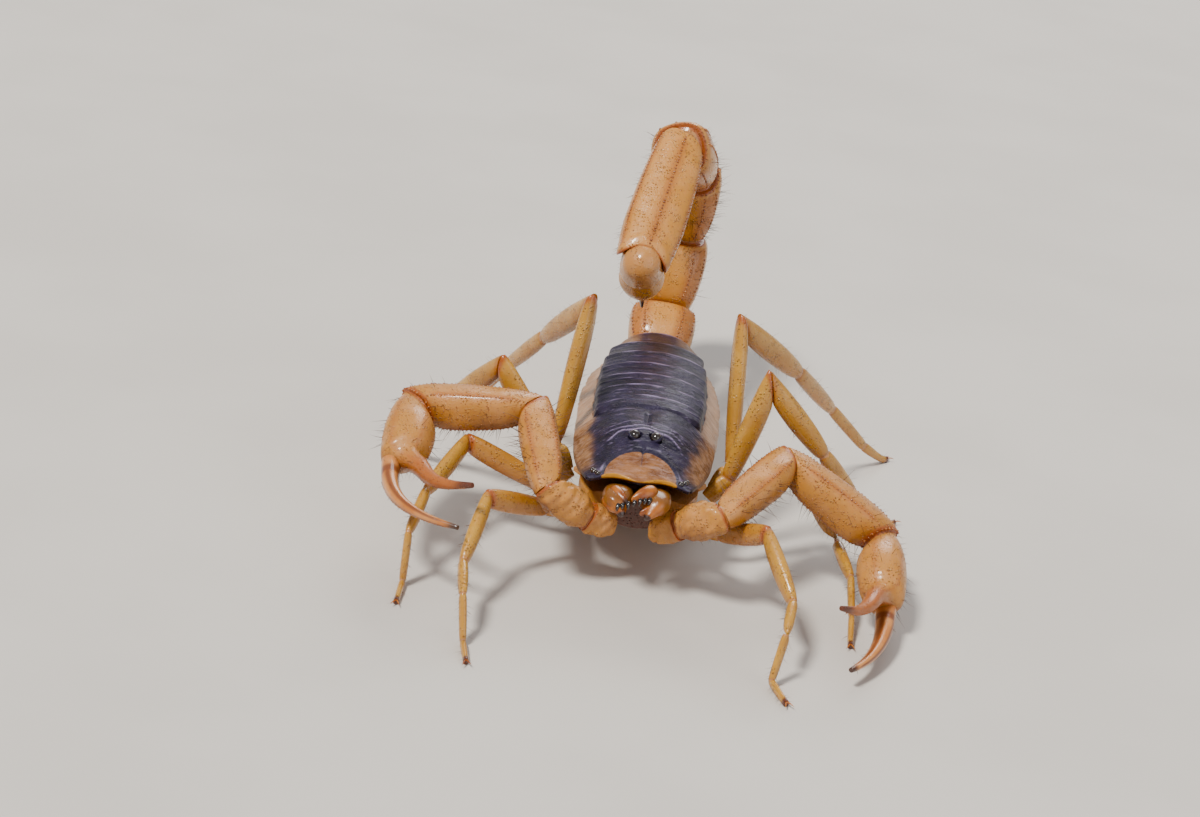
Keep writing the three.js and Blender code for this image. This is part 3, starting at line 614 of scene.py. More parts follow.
def make_tube(node, start, up, keels=(), joints=(), levels=2, plug=True, rim=0.7, keel=0.3):
    piece = copy_of(node)
    rings = rings_of(piece, start, up)
    clean_tube(piece, rings)
    points = points_of(piece)
    column = {v: (k, j) for k, ring in enumerate(rings) for j, v in enumerate(ring)}
    last = len(rings) - 1
    centres = [points[ring].mean(axis=0) for ring in rings]
    raised = points.copy()
    for v, (k, j) in column.items():
        if keels and 0 < k < last:
            raised[v] = centres[k] + (points[v] - centres[k]) * (1.012 if j in keels else 0.982)
    set_points(piece, raised)
    along = np.zeros(len(points))
    rims = np.zeros(len(points))
    keeled = np.zeros(len(points))
    for v, (k, j) in column.items():
        along[v] = k / last
        rims[v] = 1.0 if k == last else 0.45 * (k == 0)
        keeled[v] = 1.0 if j in keels and 0 < k < last else 0.0
    for v in range(len(points)):
        if v not in column:
            far = np.linalg.norm(points[v] - centres[-1]) < np.linalg.norm(points[v] - centres[0])
            along[v] = float(far)
    paint(piece, "along", along)
    paint(piece, "rim", rims)
    paint(piece, "keel", keeled)

    def is_rim(edge):
        ends = [column.get(v) for v in edge.vertices]
        return None not in ends and ends[0][0] == ends[1][0] and ends[0][0] in (0, last)

    def is_keel(edge):
        ends = [column.get(v) for v in edge.vertices]
        return None not in ends and ends[0][1] == ends[1][1] and ends[0][1] in keels

    if keels and choose(piece, "EDGE", is_keel):
        bpy.ops.transform.edge_crease(value=keel)
    choose(piece, "EDGE", is_rim)
    bpy.ops.transform.edge_crease(value=rim)
    for k in joints:
        notch_joint(piece, points[rings[k]])
    way = centres[last] - centres[last - 1]
    if plug:
        draw_membrane(piece, points[rings[last]], way)
    close_mesh()
    paint_joints(piece, [points[rings[k]] for k in joints], points[rings[last]] if plug else None, way)
    refine(piece, levels)
    smooth(piece, 60)
    tubes[node] = {
        "piece": piece,
        "centres": np.array(centres),
        "rings": [points[ring] for ring in rings],
        "size": np.mean([np.linalg.norm(points[ring] - c, axis=1).mean() for ring, c in zip(rings, centres)]),
    }
    return piece


def notch_joint(piece, ring):
    """Cuts a groove round a leg where two of its segments meet inside one solid."""
    centre, normal = plane_of(ring)
    reach = np.linalg.norm(ring - centre, axis=1).max() * 1.2

    def on_ring(edge):
        ends = np.array([piece.data.vertices[v].co for v in edge.vertices]) - centre
        return np.abs(ends @ normal).max() < 1e-5 and np.linalg.norm(ends, axis=1).max() < reach

    choose(piece, "EDGE", on_ring)
    bpy.ops.mesh.bevel(offset=0.16 * MM, offset_type="OFFSET", segments=2, affect="EDGES", clamp_overlap=True)
    close_mesh()

    def in_groove(vertex):
        spoke = np.array(vertex.co) - centre
        return abs(spoke @ normal) < 0.04 * MM and np.linalg.norm(spoke) < reach

    choose(piece, "VERT", in_groove)
    bpy.ops.transform.resize(value=(0.78, 0.78, 0.78), center_override=Vector(centre))
    close_mesh()


def draw_membrane(piece, ring, way):
    """Insets the far cap, and draws it out as the membrane that enters the next tube."""
    centre, normal = plane_of(ring)
    normal = normal * np.sign(normal @ way)
    size = np.linalg.norm(ring - centre, axis=1).mean()

    def on_cap(face):
        corners = np.array([piece.data.vertices[v].co for v in face.vertices]) - centre
        return np.abs(corners @ normal).max() < 2e-5 and np.linalg.norm(corners, axis=1).max() < 2 * size

    choose(piece, "FACE", on_cap)
    bpy.ops.mesh.inset(thickness=size * RIM_INSET, depth=0)
    bpy.ops.mesh.extrude_region_move(TRANSFORM_OT_translate={"value": Vector(normal) * MEMBRANE_REACH})
    bpy.ops.transform.resize(value=(0.86, 0.86, 0.86), center_override=Vector(centre + normal * MEMBRANE_REACH))
    close_mesh()


def paint_joints(piece, rings, last_ring, way):
    points = points_of(piece)
    joint = np.zeros(len(points))
    for ring in rings:
        centre, normal = plane_of(ring)
        spokes = points - centre
        near = np.linalg.norm(spokes, axis=1) < np.linalg.norm(ring - centre, axis=1).max() * 1.3
        joint[near & (np.abs(spokes @ normal) < 0.05 * MM)] = 1
    if last_ring is not None:
        centre, normal = plane_of(last_ring)
        normal = normal * np.sign(normal @ way)
        joint[(points - centre) @ normal > 0.2 * MM] = 1
    paint(piece, "joint", joint)


def waves(points, scale, seed, terms=5):
    """A smooth random field between about -1 and 1: a sum of a few waves in random directions."""
    source = np.random.default_rng(seed)
    total = np.zeros(len(points))
    for term in range(terms):
        way = source.normal(size=3)
        way *= (0.7 + 0.2 * term) / np.linalg.norm(way)
        total += np.sin(points @ (way * scale) + source.uniform(0, 2 * math.pi)) / terms
    return total * 1.6


def bell(distance, width):
    return np.exp(-((distance / width) ** 2))


def painted(piece, name):
    values = np.empty(len(piece.data.vertices))
    piece.data.attributes[name].data.foreach_get("value", values)
    return values


# %% The tail rings
TAIL_NODES = [f"metasoma_{i}" for i in range(1, 6)]


def middle(node):
    low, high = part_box(node)
    return (low + high) / 2


def spine_beside(share, centres):
    """For each point of a tube, the place on the line through the tube's middle beside it."""
    index = np.clip(share * (len(centres) - 1), 0, len(centres) - 1)
    return np.column_stack([np.interp(index, range(len(centres)), centres[:, i]) for i in range(3)])


def barrel(piece, centres, fullness):
    """The piece's points, fuller in the middle of the tube and drawn in at both ends."""
    share = painted(piece, "along")
    spine = spine_beside(share, centres)
    factor = 1.05 - fullness * (1 - np.clip(np.sin(share * math.pi), 0, 1) ** 0.8)
    return spine + (points_of(piece) - spine) * factor[:, None]


loop_centre = sum((middle(node) for node in TAIL_NODES), Vector()) / len(TAIL_NODES)
TAIL_KEELS = (1, 11, 2, 10, 4, 8, 5, 7)
LAST_KEELS = (1, 11, 4, 8, 6)
before = Vector(middle("tergite_7"))
for node in TAIL_NODES:
    is_last = node == "metasoma_5"
    keels = LAST_KEELS if is_last else TAIL_KEELS
    inward = loop_centre - middle(node)
    shell = make_tube(node, before, inward, keels=keels, levels=3, plug=not is_last, keel=0.14)
    if not is_last:
        set_points(shell, barrel(shell, tubes[node]["centres"], 0.17 if node == "metasoma_1" else 0.13))
    finished(shell, tail_material, "amber_cuticle", node)
    before = middle(node)
    print(node, "faces", len(shell.data.polygons))

# %% [markdown]
# ## The last ring and the telson
# The last ring ends in a thick arched lip, and its sides reach further down than its middle, so they
# hold the poison bulb between them. The far end of the copy is drawn out at the sides along the
# ring's own axis, and the bulb's root is swollen until it fills the mouth.

# %% The last ring's arch, the bulb and the sting
last_ring = tubes["metasoma_5"]
FLANGE = 1.9 * MM


def draw_flanges(points):
    centres = last_ring["centres"]
    axis = unit(centres[-1] - centres[0])
    length = (centres[-1] - centres[0]) @ axis
    top = last_ring["rings"][3][0] - centres[3]
    top = unit(top - axis * (top @ axis))
    spokes = points - centres[0]
    down = spokes @ axis
    spokes = spokes - np.outer(down, axis)
    radius = np.linalg.norm(spokes, axis=1)
    belly = -(spokes @ top) / np.maximum(radius, 1e-9)
    fullness = np.clip(radius / (2.9 * MM), 0, 1) ** 2
    side = np.where(belly > 0, 1 - belly**2, 1 - 0.5 * belly**2)
    reach = smoothstep(down / length, 0.76, 1.0) * side * fullness * FLANGE
    lip = smoothstep(down / length, 0.95, 0.985) * fullness * 0.12 * MM
    closing = lip - 0.16 * reach
    return points + np.outer(reach, axis) + spokes / np.maximum(radius, 1e-9)[:, None] * closing[:, None]


set_points(last_ring["piece"], draw_flanges(points_of(last_ring["piece"])))

vesicle = make_tube("telson_vesicle", middle("metasoma_5"), (0, 0, 1), levels=2, plug=False, rim=0.2)
share = painted(vesicle, "along")
bulb_centres = tubes["telson_vesicle"]["centres"]
points = points_of(vesicle)
spine = spine_beside(share, bulb_centres)
offset = points - spine
radius = np.linalg.norm(offset, axis=1)
swell = 1 - smoothstep(share, 0.20, 0.50)
fuller = np.maximum(radius, 2.35 * MM * swell * np.clip(radius / (0.8 * MM), 0, 1))
mouth = last_ring["centres"][-1]
into_mouth = unit(mouth - bulb_centres[0]) * 0.9 * MM
points = spine + offset * (fuller / np.maximum(radius, 1e-9))[:, None]
set_points(vesicle, points + np.outer(1 - smoothstep(share, 0.05, 0.35), into_mouth))
paint(vesicle, "rim", np.zeros(len(share)))
finished(vesicle, tail_material, "amber_cuticle", "telson_vesicle")

# The bulb's soft neck fills the mouth of the ring, right up to the arch.
arch = last_ring["rings"][-1][6]
ring_way = unit(mouth - last_ring["centres"][0])
neck_place = Vector(arch - unit(arch - mouth) * 1.65 * MM + ring_way * 1.95 * MM)
bpy.ops.object.select_all(action="DESELECT")
bpy.ops.mesh.primitive_uv_sphere_add(segments=32, ring_count=20, radius=2.15 * MM, location=neck_place)
bulb_neck = bpy.context.object
bulb_neck.name = "telson_neck"
settle(bulb_neck)
to_bulb = (Vector(bulb_centres[6]) - neck_place).normalized()
choose(bulb_neck, "VERT", lambda vertex: (vertex.co - neck_place).dot(to_bulb) > 0.2 * MM)
bpy.ops.transform.translate(value=to_bulb * 1.2 * MM)
bpy.ops.transform.resize(value=(1.16, 1.16, 1.16), center_override=neck_place + to_bulb * 1.2 * MM)
close_mesh()
refine(bulb_neck, 1)
points = points_of(bulb_neck)
neck_folds = 0.05 * waves(points / MM, 2.2, 77) + 0.02 * waves(points / MM, 6.0, 78)
set_points(bulb_neck, points + normals_of(bulb_neck) * (neck_folds * MM)[:, None])
# The neck is painted part way to the pale membrane colour: partly the pale skin of the joint, partly a painted
# highlight.
paint(bulb_neck, "joint", np.full(len(points), 0.46))
bpy.ops.object.shade_smooth()
finished(bulb_neck, tail_material, "amber_cuticle")
print("bulb's neck at", [round(v / MM, 1) for v in neck_place])

sting = make_tube("sting", middle("telson_vesicle"), (0, 0, 1), levels=2, plug=False)
share = painted(sting, "along")
into_bulb = unit(bulb_centres[-2] - tubes["sting"]["centres"][0]) * 1.3 * MM
sting_root = tubes["sting"]["centres"][0]
points = points_of(sting)
grown = 1 + 0.35 * (1 - smoothstep(share, 0.0, 0.12))
points = sting_root + (points - sting_root) * np.where(share < 0.12, grown, 1.0)[:, None]
set_points(sting, points + np.outer(1 - smoothstep(share, 0.0, 0.22), into_bulb))
paint(sting, "tip", smoothstep(share, 0.15, 0.8))
finished(sting, orange_material, "dark_cuticle", "sting")

# %% The walking legs
UPPER_JOINTS = (4,)
LOWER_JOINTS = (4, 8, 11)
SIDES = ("left", "right")
for leg in range(1, 5):
    for side in SIDES:
        upper_node = f"leg_{leg}_{side}_upper"
        lower_node = f"leg_{leg}_{side}_lower"
        hip = Vector((0, middle("carapace").y, middle("carapace").z))
        upper = make_tube(upper_node, hip, (0, 0, 1), joints=UPPER_JOINTS, rim=0.5)
        share = painted(upper, "along")
        paint(upper, "keel", np.clip(smoothstep(share, 0.86, 0.99) + 0.9 * bell(share - 0.5, 0.06), 0, 1))
        if leg < 3:
            paint(upper, "warm", 0.45 * smoothstep(share, 0.3, 0.6))
        finished(upper, leg_material, "amber_cuticle", upper_node)
        knee = tubes[upper_node]["centres"][-1]
        lower = make_tube(lower_node, knee, (0, 0, 1), joints=LOWER_JOINTS, rim=0.5, plug=False)
        share = painted(lower, "along")
        near_joint = sum(bell(share - k / 14, 0.022) for k in LOWER_JOINTS)
        paint(lower, "tip", smoothstep(share, 0.93, 0.99))
        paint(lower, "keel", np.clip(0.9 * near_joint + 1 - smoothstep(share, 0.0, 0.07), 0, 1))
        finished(lower, leg_material, "amber_cuticle", lower_node)
print("legs made, last foot at", [round(v / MM, 1) for v in tubes[lower_node]["centres"][-1]])

# %% The pedipalps
ARM_KEELS = (1, 9, 4, 6)
for side in SIDES:
    prefix = f"pedipalp_{side}_"
    start = Vector(middle("coxae"))
    for part in ("coxa", "trochanter", "femur", "patella"):
        keels = ARM_KEELS if part in ("femur", "patella") else ()
        arm = make_tube(prefix + part, start, (0, 0, 1), keels=keels, levels=3, rim=0.55, keel=0.3)
        if part in ("coxa", "trochanter"):
            wrinkled = points_of(arm)
            folds = np.abs(waves(wrinkled / MM, 2.6, 70)) + 0.5 * waves(wrinkled / MM, 6.0, 71)
            set_points(arm, wrinkled + normals_of(arm) * ((0.14 * folds - 0.08) * MM)[:, None])
        finished(arm, amber_material, "amber_cuticle", prefix + part)
        start = tubes[prefix + part]["centres"][-1]
    hand = make_tube(prefix + "hand", start, (0, 0, 1), keels=(1, 3, 5, 7, 9), levels=3, plug=False, keel=0.12)
    share = painted(hand, "along")
    paint(hand, "warm", smoothstep(share, 0.50, 0.75))
    paint(hand, "keel", painted(hand, "keel") * 0.8)
    paint(hand, "tip", smoothstep(share, 0.88, 1.0))
    paint(hand, "rim", np.zeros(len(share)))
    finished(hand, amber_material, "amber_cuticle", prefix + "hand")
    palm = tubes[prefix + "hand"]["centres"][4]
    finger = make_tube(prefix + "finger", palm, (0, 0, 1), keels=(1, 3, 5, 7), levels=3, plug=False, keel=0.1)
    share = painted(finger, "along")
    centres = tubes[prefix + "finger"]["centres"]
    into_palm = unit(centres[0] - centres[1]) * 0.9 * MM
    set_points(finger, points_of(finger) + np.outer(1 - smoothstep(share, 0.0, 0.14), into_palm))
    paint(finger, "tip", smoothstep(share, 0.75, 1.0))
    paint(finger, "keel", np.maximum(painted(finger, "keel"), bell(share - 0.10, 0.035)))
    finished(finger, finger_material, "orange_cuticle", prefix + "finger")

# %% [markdown]
# ## The trunk's own frame
# The trunk is pitched a little, and lies off centre. Sculpting it is easier in a frame of its own:
# x across, y back from the front margin of the head shield, z up, in millimetres.

# %% The trunk's frame
TRUNK_PLACE = Vector((0.105, -22.656, 11.8)) * MM
TRUNK_PITCH = math.radians(-6.5)


def trunk_points(points):
    """World places in the trunk's own frame, in millimetres."""
    moved = (np.asarray(points) - np.array(TRUNK_PLACE)) / MM
    cosine, sine = math.cos(TRUNK_PITCH), math.sin(TRUNK_PITCH)
    back = moved[:, 1] * cosine + moved[:, 2] * sine
    up = -moved[:, 1] * sine + moved[:, 2] * cosine
    return np.column_stack([moved[:, 0], back, up])


def world_points(points):
    points = np.asarray(points) * MM
    cosine, sine = math.cos(TRUNK_PITCH), math.sin(TRUNK_PITCH)
    y = points[:, 1] * cosine - points[:, 2] * sine
    z = points[:, 1] * sine + points[:, 2] * cosine
    return np.column_stack([points[:, 0], y, z]) + np.array(TRUNK_PLACE)


def world_place(x, y, z):
    return Vector(world_points([(x, y, z)])[0])

# %% [markdown]
# ## Back plates
# Seven tough plates cover the back, each overlapping the next like roof tiles. Each copy keeps its
# creased outline through a subdivision surface. Then its rear edge is drawn out over the next plate
# as a thin raised lip, its front edge sinks under the plate before it, and a low cross ridge with
# fine wrinkles is raised behind the middle.

# %% Making a plate
BACK_CENTRE = -2.0


def make_plate(node, levels, crease=0.7):
    piece = copy_of(node)
    open_mesh(piece)
    bpy.ops.mesh.select_all(action="SELECT")
    bpy.ops.mesh.tris_convert_to_quads(face_threshold=0.8, shape_threshold=0.8)
    bpy.ops.mesh.select_mode(type="EDGE")
    bpy.ops.mesh.select_all(action="DESELECT")
    bpy.ops.mesh.edges_select_sharp(sharpness=math.radians(40))
    bpy.ops.transform.edge_crease(value=crease)
    close_mesh()
    refine(piece, levels)
    smooth(piece, 60)
    return piece


def outward(local):
    spokes = np.column_stack([local[:, 0], np.zeros(len(local)), local[:, 2] - BACK_CENTRE])
    return spokes / np.linalg.norm(spokes, axis=1)[:, None]


for i in range(1, 8):
    node = f"tergite_{i}"
    plate = make_plate(node, 3, crease=0.9)
    local = trunk_points(points_of(plate))
    back = (local[:, 1] - local[:, 1].min()) / np.ptp(local[:, 1])
    length = np.ptp(local[:, 1])
    way_out = outward(local)
    top = smoothstep((trunk_points(points_of(plate) + normals_of(plate) * MM) - local) @ (0, 0, 1), 0.0, 0.3)
    rise = 0.10 * smoothstep(back, 0.80, 0.97)
    rise -= (0.35 if i == 1 else 0.12) * (1 - smoothstep(back, 0.0, 0.30))
    across = np.abs(local[:, 0]) / np.abs(local[:, 0]).max()
    rise -= 0.75 * smoothstep(across, 0.80, 1.0)
    ridge = 0.08 * bell((back - 0.70) * length + 0.12 * waves(local, 1.6, i), 0.14)
    ridge += 0.035 * bell((back - 0.45) * length + 0.2 * waves(local, 1.3, i + 20), 0.16)
    rise += top * (ridge + 0.025 * waves(local * (0.5, 1.6, 1.0), 5.0, i + 40))
    local[:, 1] += 0.5 * smoothstep(back, 0.72, 1.0)
    local += way_out * rise[:, None]
    set_points(plate, world_points(local))
    ridge_line = (back - 0.70) * length + 0.12 * waves(local, 1.6, i)
    # The rear edge and the cross ridge get the lip number, which the slate material turns into a painted lavender
    # highlight, broken here and there by waves.
    lip = top * (smoothstep(back, 0.90, 0.965) + 0.7 * bell(ridge_line, 0.14))
    lip *= np.clip(0.75 + 0.5 * waves(local, 2.6, i + 80), 0.15, 1) * (1 - 0.75 * smoothstep(across, 0.6, 0.95))
    paint(plate, "lip", np.clip(lip, 0, 1))
    flank = smoothstep(across + 0.06 * waves(local, 2.0, i + 60), 0.93, 1.0) * 0.7
    paint(plate, "pale", np.maximum(flank, 0.85 * smoothstep(np.abs(local[:, 0]), 1.6, 3.0)) if i == 7 else flank)
    finished(plate, slate_material, "slate_cuticle", node)

for i in range(3, 8):
    node = f"sternite_{i}"
    plate = make_plate(node, 2, crease=0.9)
    local = trunk_points(points_of(plate))
    back = (local[:, 1] - local[:, 1].min()) / np.ptp(local[:, 1])
    local[:, 1] += 0.45 * smoothstep(back, 0.7, 1.0)
    local[:, 2] += 0.22 * (1 - smoothstep(back, 0.0, 0.3)) - 0.06 * smoothstep(back, 0.8, 1.0)
    set_points(plate, world_points(local))
    paint(plate, "lip", smoothstep(back, 0.86, 0.97))
    finished(plate, belly_material, "pale_cuticle", node)
for node in ("coxae", "genital_operculum", "pecten_left", "pecten_right"):
    plate = make_plate(node, 1 if node.startswith("pecten") else 2)
    local = trunk_points(points_of(plate))
    # The front of the coxae under the jaws is darkened through the tip colour: painted shade of the mouth.
    mouth_shade = (1 - smoothstep(local[:, 1], 4.2, 5.2)) * (1 - smoothstep(np.abs(local[:, 0]), 1.6, 2.6))
    paint(plate, "tip", mouth_shade)
    finished(plate, amber_material, "amber_cuticle", node)
print("plates made:", len(made))

# %% [markdown]
# ## Head shield
# The head shield is one hard plate with a lot of relief. A pale crescent lies behind its front
# margin, split by a short furrow. Behind it is a raised band, then a black hollow round the pair of
# middle eyes on their low mound, and wavy crests behind them. The copy is refined first, then each
# feature is raised or sunk by a bell-shaped curve over its own line, so all of them blend.

# %% Head shield
shield = make_plate("carapace", 3)
local = trunk_points(points_of(shield))
x, y = local[:, 0].copy(), local[:, 1].copy()
top = smoothstep((trunk_points(points_of(shield) + normals_of(shield) * MM) - local) @ (0, 0, 1), 0.1, 0.5)
wander = waves(local, 1.7, 3)
arc = (np.abs(x / 3.65) ** 2.8 + np.abs((y + 0.1) / 3.95) ** 2.8) ** (1 / 2.8) + 0.035 * wander
ahead = 1 - smoothstep(arc, 0.92, 1.0)
furrow = bell(x, 0.17) * smoothstep(y, 1.6, 2.4) * (1 - smoothstep(y, 4.3, 5.0))
rear_furrow = bell(x, 0.25) * smoothstep(y, 8.2, 9.4) * (1 - smoothstep(y, 12.6, 13.6))
mound = bell(np.hypot(x / 1.9, (y - 6.2) / 1.35), 1.0)
hollow = bell(np.hypot((np.abs(x) - 2.6) / 1.3, (y - 5.6) / 1.0), 1.0)
crest_line = 7.35 + 0.28 * np.cos(x * 2.6) + 0.10 * wander - 0.05 * x**2
crest = bell(y - crest_line, 0.16) * (1 - smoothstep(np.abs(x), 3.2, 4.2))
second_line = 8.35 + 0.22 * np.cos(x * 2.1 + 0.6) + 0.12 * wander - 0.04 * x**2
second = bell(y - second_line, 0.14) * (1 - smoothstep(np.abs(x), 3.4, 4.6))
third = bell(y - 9.5 + 0.04 * x**2 - 0.15 * wander, 0.16) * (1 - smoothstep(np.abs(x), 3.6, 5.0))
band = bell(arc - 1.07, 0.05) * smoothstep(y, 0.6, 1.6)
rear_band = bell(y - 13.25, 0.22)
side_patch = bell(np.hypot(np.abs(x) - 4.35, (y - 1.4) * 0.8), 0.7)
rise = 0.30 * mound - 0.16 * hollow - 0.14 * furrow - 0.20 * rear_furrow
rise += 0.20 * crest + 0.15 * second + 0.10 * third + 0.14 * band + 0.05 * rear_band + 0.10 * side_patch
rise += 0.05 * ahead * bell(y - 0.35, 0.25)
rise += 0.030 * waves(local * (0.6, 1.5, 1.0), 5.5, 9) + 0.015 * waves(local, 13.0, 10)
set_back = 0.4 * np.sin(np.clip(np.abs(x) / 4.95, 0, 1) * math.pi) ** 2
bay = set_back / 0.4 * (1 - smoothstep(y, 0.2, 2.6))
local[:, 2] += top * rise + 0.30 * bay
under = np.clip((-0.012 * x**2 - 0.03 - local[:, 2]) / 0.45, 0, 1) * (1 - top)
local[:, 1] += 0.55 * smoothstep(y, 12.9, 14.0) + 0.25 * bay + 0.65 * under * (1 - smoothstep(y, 0.6, 1.4))
set_points(shield, world_points(local))
paint(shield, "crescent", ahead * (1 - 0.5 * furrow) * (1 - smoothstep(under, 0.3, 0.8)))
edge = (1 - smoothstep(y - set_back, 0.03, 0.11)) * (1 - smoothstep(np.abs(x), 3.4, 4.0))
paint(shield, "margin", edge * (1 - smoothstep(under, 0.1, 0.5)))
broken = np.clip(0.6 + 0.6 * waves(local, 2.4, 14), 0, 1)
# The crests, the band, the rear band and the swelling by the side eyes are painted lavender through the lip number:
# painted highlights.
glow = 1.0 * crest + 0.8 * second + 0.6 * third + 0.75 * band * (0.6 + 0.4 * wander) + 0.5 * rear_band * broken
paint(shield, "lip", np.clip(glow + 0.45 * side_patch, 0, 1))
half_width = 4.95 + 2.35 * np.sin(np.clip(y / 14, 0, 1) * 1.45)
flank = np.abs(x) / half_width + 0.05 * waves(local, 1.5, 12) + 0.02 * waves(local, 5.0, 13)
paint(shield, "pale", smoothstep(flank, 0.70, 0.88) * smoothstep(y, 1.6, 4.5) * 0.9)
finished(shield, slate_material, "slate_cuticle", "carapace")
print("head shield vertices", len(local))

# %% Soft skin
skin = make_plate("abdomen", 2)
local = trunk_points(points_of(skin))
spoke = np.column_stack([local[:, 0], np.zeros(len(local)), local[:, 2] + 1.4])
spoke /= np.linalg.norm(spoke, axis=1)[:, None]
folds = waves(local * (0.3, 1.0, 0.35), 3.2, 30) + 0.6 * waves(local * (0.5, 1.0, 1.0), 7.0, 31)
covered = np.maximum(smoothstep(local[:, 2], -0.6, 0.9), 1 - smoothstep(local[:, 2], -5.4, -4.4))
swell = 0.34 * covered + (1 - covered) * (0.14 * folds - 0.10)
local += spoke * (swell * (1 - smoothstep(local[:, 1], 48, 50.4)))[:, None]
closing = smoothstep(local[:, 1], 47.5, 50.6)
local[:, 0] *= 1 - 0.22 * closing
local[:, 2] = -1.3 + (local[:, 2] + 1.3) * (1 - 0.15 * closing)
local[:, 1] += 1.5 * smoothstep(local[:, 1], 49.2, 50.65)
set_points(skin, world_points(local))
finished(skin, skin_material, "pale_cuticle", "abdomen")

# %% [markdown]
# ## Eyes
# A scorpion sees with two large middle eyes, set in rims on the mound, and three small eyes at each
# front corner of the shield. Each is a smooth black dome. The small ones are spheres flattened in
# edit mode and turned to stand square to the shield, in a row on a low swelling.

# %% Eyes
shield_tree = BVHTree.FromObject(shield, bpy.context.evaluated_depsgraph_get())


def on_shield(x, y):
    """The place on the head shield's surface above a point of the trunk's frame, and its normal."""
    start = world_place(x, y, 12)
    way = (world_place(x, y, -12) - start).normalized()
    place, normal = shield_tree.ray_cast(start, way)[:2]
    return place, normal


def dome(place, normal, radius, height):
    bpy.ops.object.select_all(action="DESELECT")
    bpy.ops.mesh.primitive_uv_sphere_add(segments=20, ring_count=12, radius=radius, location=place)
    piece = bpy.context.object
    bpy.ops.object.mode_set(mode="EDIT")
    bpy.ops.transform.resize(value=(1, 1, height))
    bpy.ops.object.mode_set(mode="OBJECT")
    piece.rotation_mode = "QUATERNION"
    piece.rotation_quaternion = Vector(normal).to_track_quat("Z", "Y")
    settle(piece)
    bpy.ops.object.shade_smooth()
    return piece


LATERAL_EYES = ((4.05, 0.85, 0.30), (4.45, 1.35, 0.32), (4.66, 1.95, 0.26))
for side, sign in (("left", -1), ("right", 1)):
    domes = []
    for across, back, radius in LATERAL_EYES:
        place, normal = on_shield(sign * across, back)
        domes.append(dome(place + normal * 0.02 * MM, normal, radius * MM, 0.8))
    finished(join(f"lateral_eyes_{side}", domes), black_material, "dark_cuticle")
    eye = make_plate(f"eye_median_{side}", 2)
    finished(eye, black_material, "dark_cuticle", f"eye_median_{side}")
    middle_place = middle(f"eye_median_{side}")
    bpy.ops.object.select_all(action="DESELECT")
    bpy.ops.mesh.primitive_torus_add(
        major_segments=28, minor_segments=8, major_radius=0.60 * MM, minor_radius=0.12 * MM, location=middle_place)
    rim = bpy.context.object
    rim.name = f"eye_rim_{side}"
    bpy.ops.object.mode_set(mode="EDIT")
    bpy.ops.transform.resize(value=(1.04, 1.0, 1.5))
    bpy.ops.object.mode_set(mode="OBJECT")
    tilt = Vector((sign * 0.45, -0.10, 1)).normalized()
    rim.rotation_mode = "QUATERNION"
    rim.rotation_quaternion = tilt.to_track_quat("Z", "Y")
    rim.location = middle_place - tilt * 0.10 * MM
    settle(rim)
    bpy.ops.object.shade_smooth()
    finished(rim, slate_material, "slate_cuticle")
print("eyes made")

# %% [markdown]
# ## Jaws
# Under the margin sit two short swollen jaws. Each has a rounded hand, a fixed finger and a moving
# finger with black teeth along its edge. The hand is the copy of the solid; the moving finger is
# drawn out of a short cylinder, one length at a time, each time turned and made thinner.

# %% Jaws
def horn(name, start, ways, radii, sides=12):
    """A curved horn: the end of a cylinder is extruded along each way in turn and scaled to each radius."""
    way = Vector(ways[0])
    bpy.ops.object.select_all(action="DESELECT")
    bpy.ops.mesh.primitive_cylinder_add(vertices=sides, radius=radii[0], depth=way.length, end_fill_type="NGON")
    piece = bpy.context.object
    piece.name = name
    piece.rotation_mode = "QUATERNION"
    piece.rotation_quaternion = way.to_track_quat("Z", "Y")
    piece.location = Vector(start) + way / 2
    settle(piece)
    tip = Vector(start) + way
    turned = way.normalized()

    def on_end(face):
        return Vector(face.normal).dot(turned) > 0.9 and (Vector(face.center) - tip).length < radii[0] * 0.5

    choose(piece, "FACE", on_end)
    bpy.ops.transform.resize(value=(radii[1] / radii[0],) * 3, center_override=tip)
    for i, step in enumerate(ways[1:], 1):
        step = Vector(step)
        bpy.ops.mesh.extrude_region_move(TRANSFORM_OT_translate={"value": step})
        tip = tip + step
        swing = turned.rotation_difference(step.normalized())
        axis, angle = swing.to_axis_angle()
        if angle > 1e-3:
            basis = axis.to_track_quat("Z", "Y").to_matrix()
            bpy.ops.transform.rotate(
                value=-angle, orient_axis="Z", orient_matrix=basis.transposed(), orient_type="GLOBAL",
                orient_matrix_type="GLOBAL", center_override=tip)
        bpy.ops.transform.resize(value=(radii[i + 1] / radii[i],) * 3, center_override=tip)
        turned = step.normalized()
    close_mesh()
    return piece


def trunk_way(x, y, z):
    return world_place(x, y, z) - world_place(0, 0, 0)


def tooth(place, way, length, radius):
    bpy.ops.object.select_all(action="DESELECT")
    bpy.ops.mesh.primitive_cone_add(vertices=8, radius1=radius, radius2=radius * 0.25, depth=length, location=place)
    piece = bpy.context.object
    piece.rotation_mode = "QUATERNION"
    piece.rotation_quaternion = Vector(way).to_track_quat("Z", "Y")
    settle(piece)
    refine(piece, 1)
    bpy.ops.object.shade_smooth()
    return piece


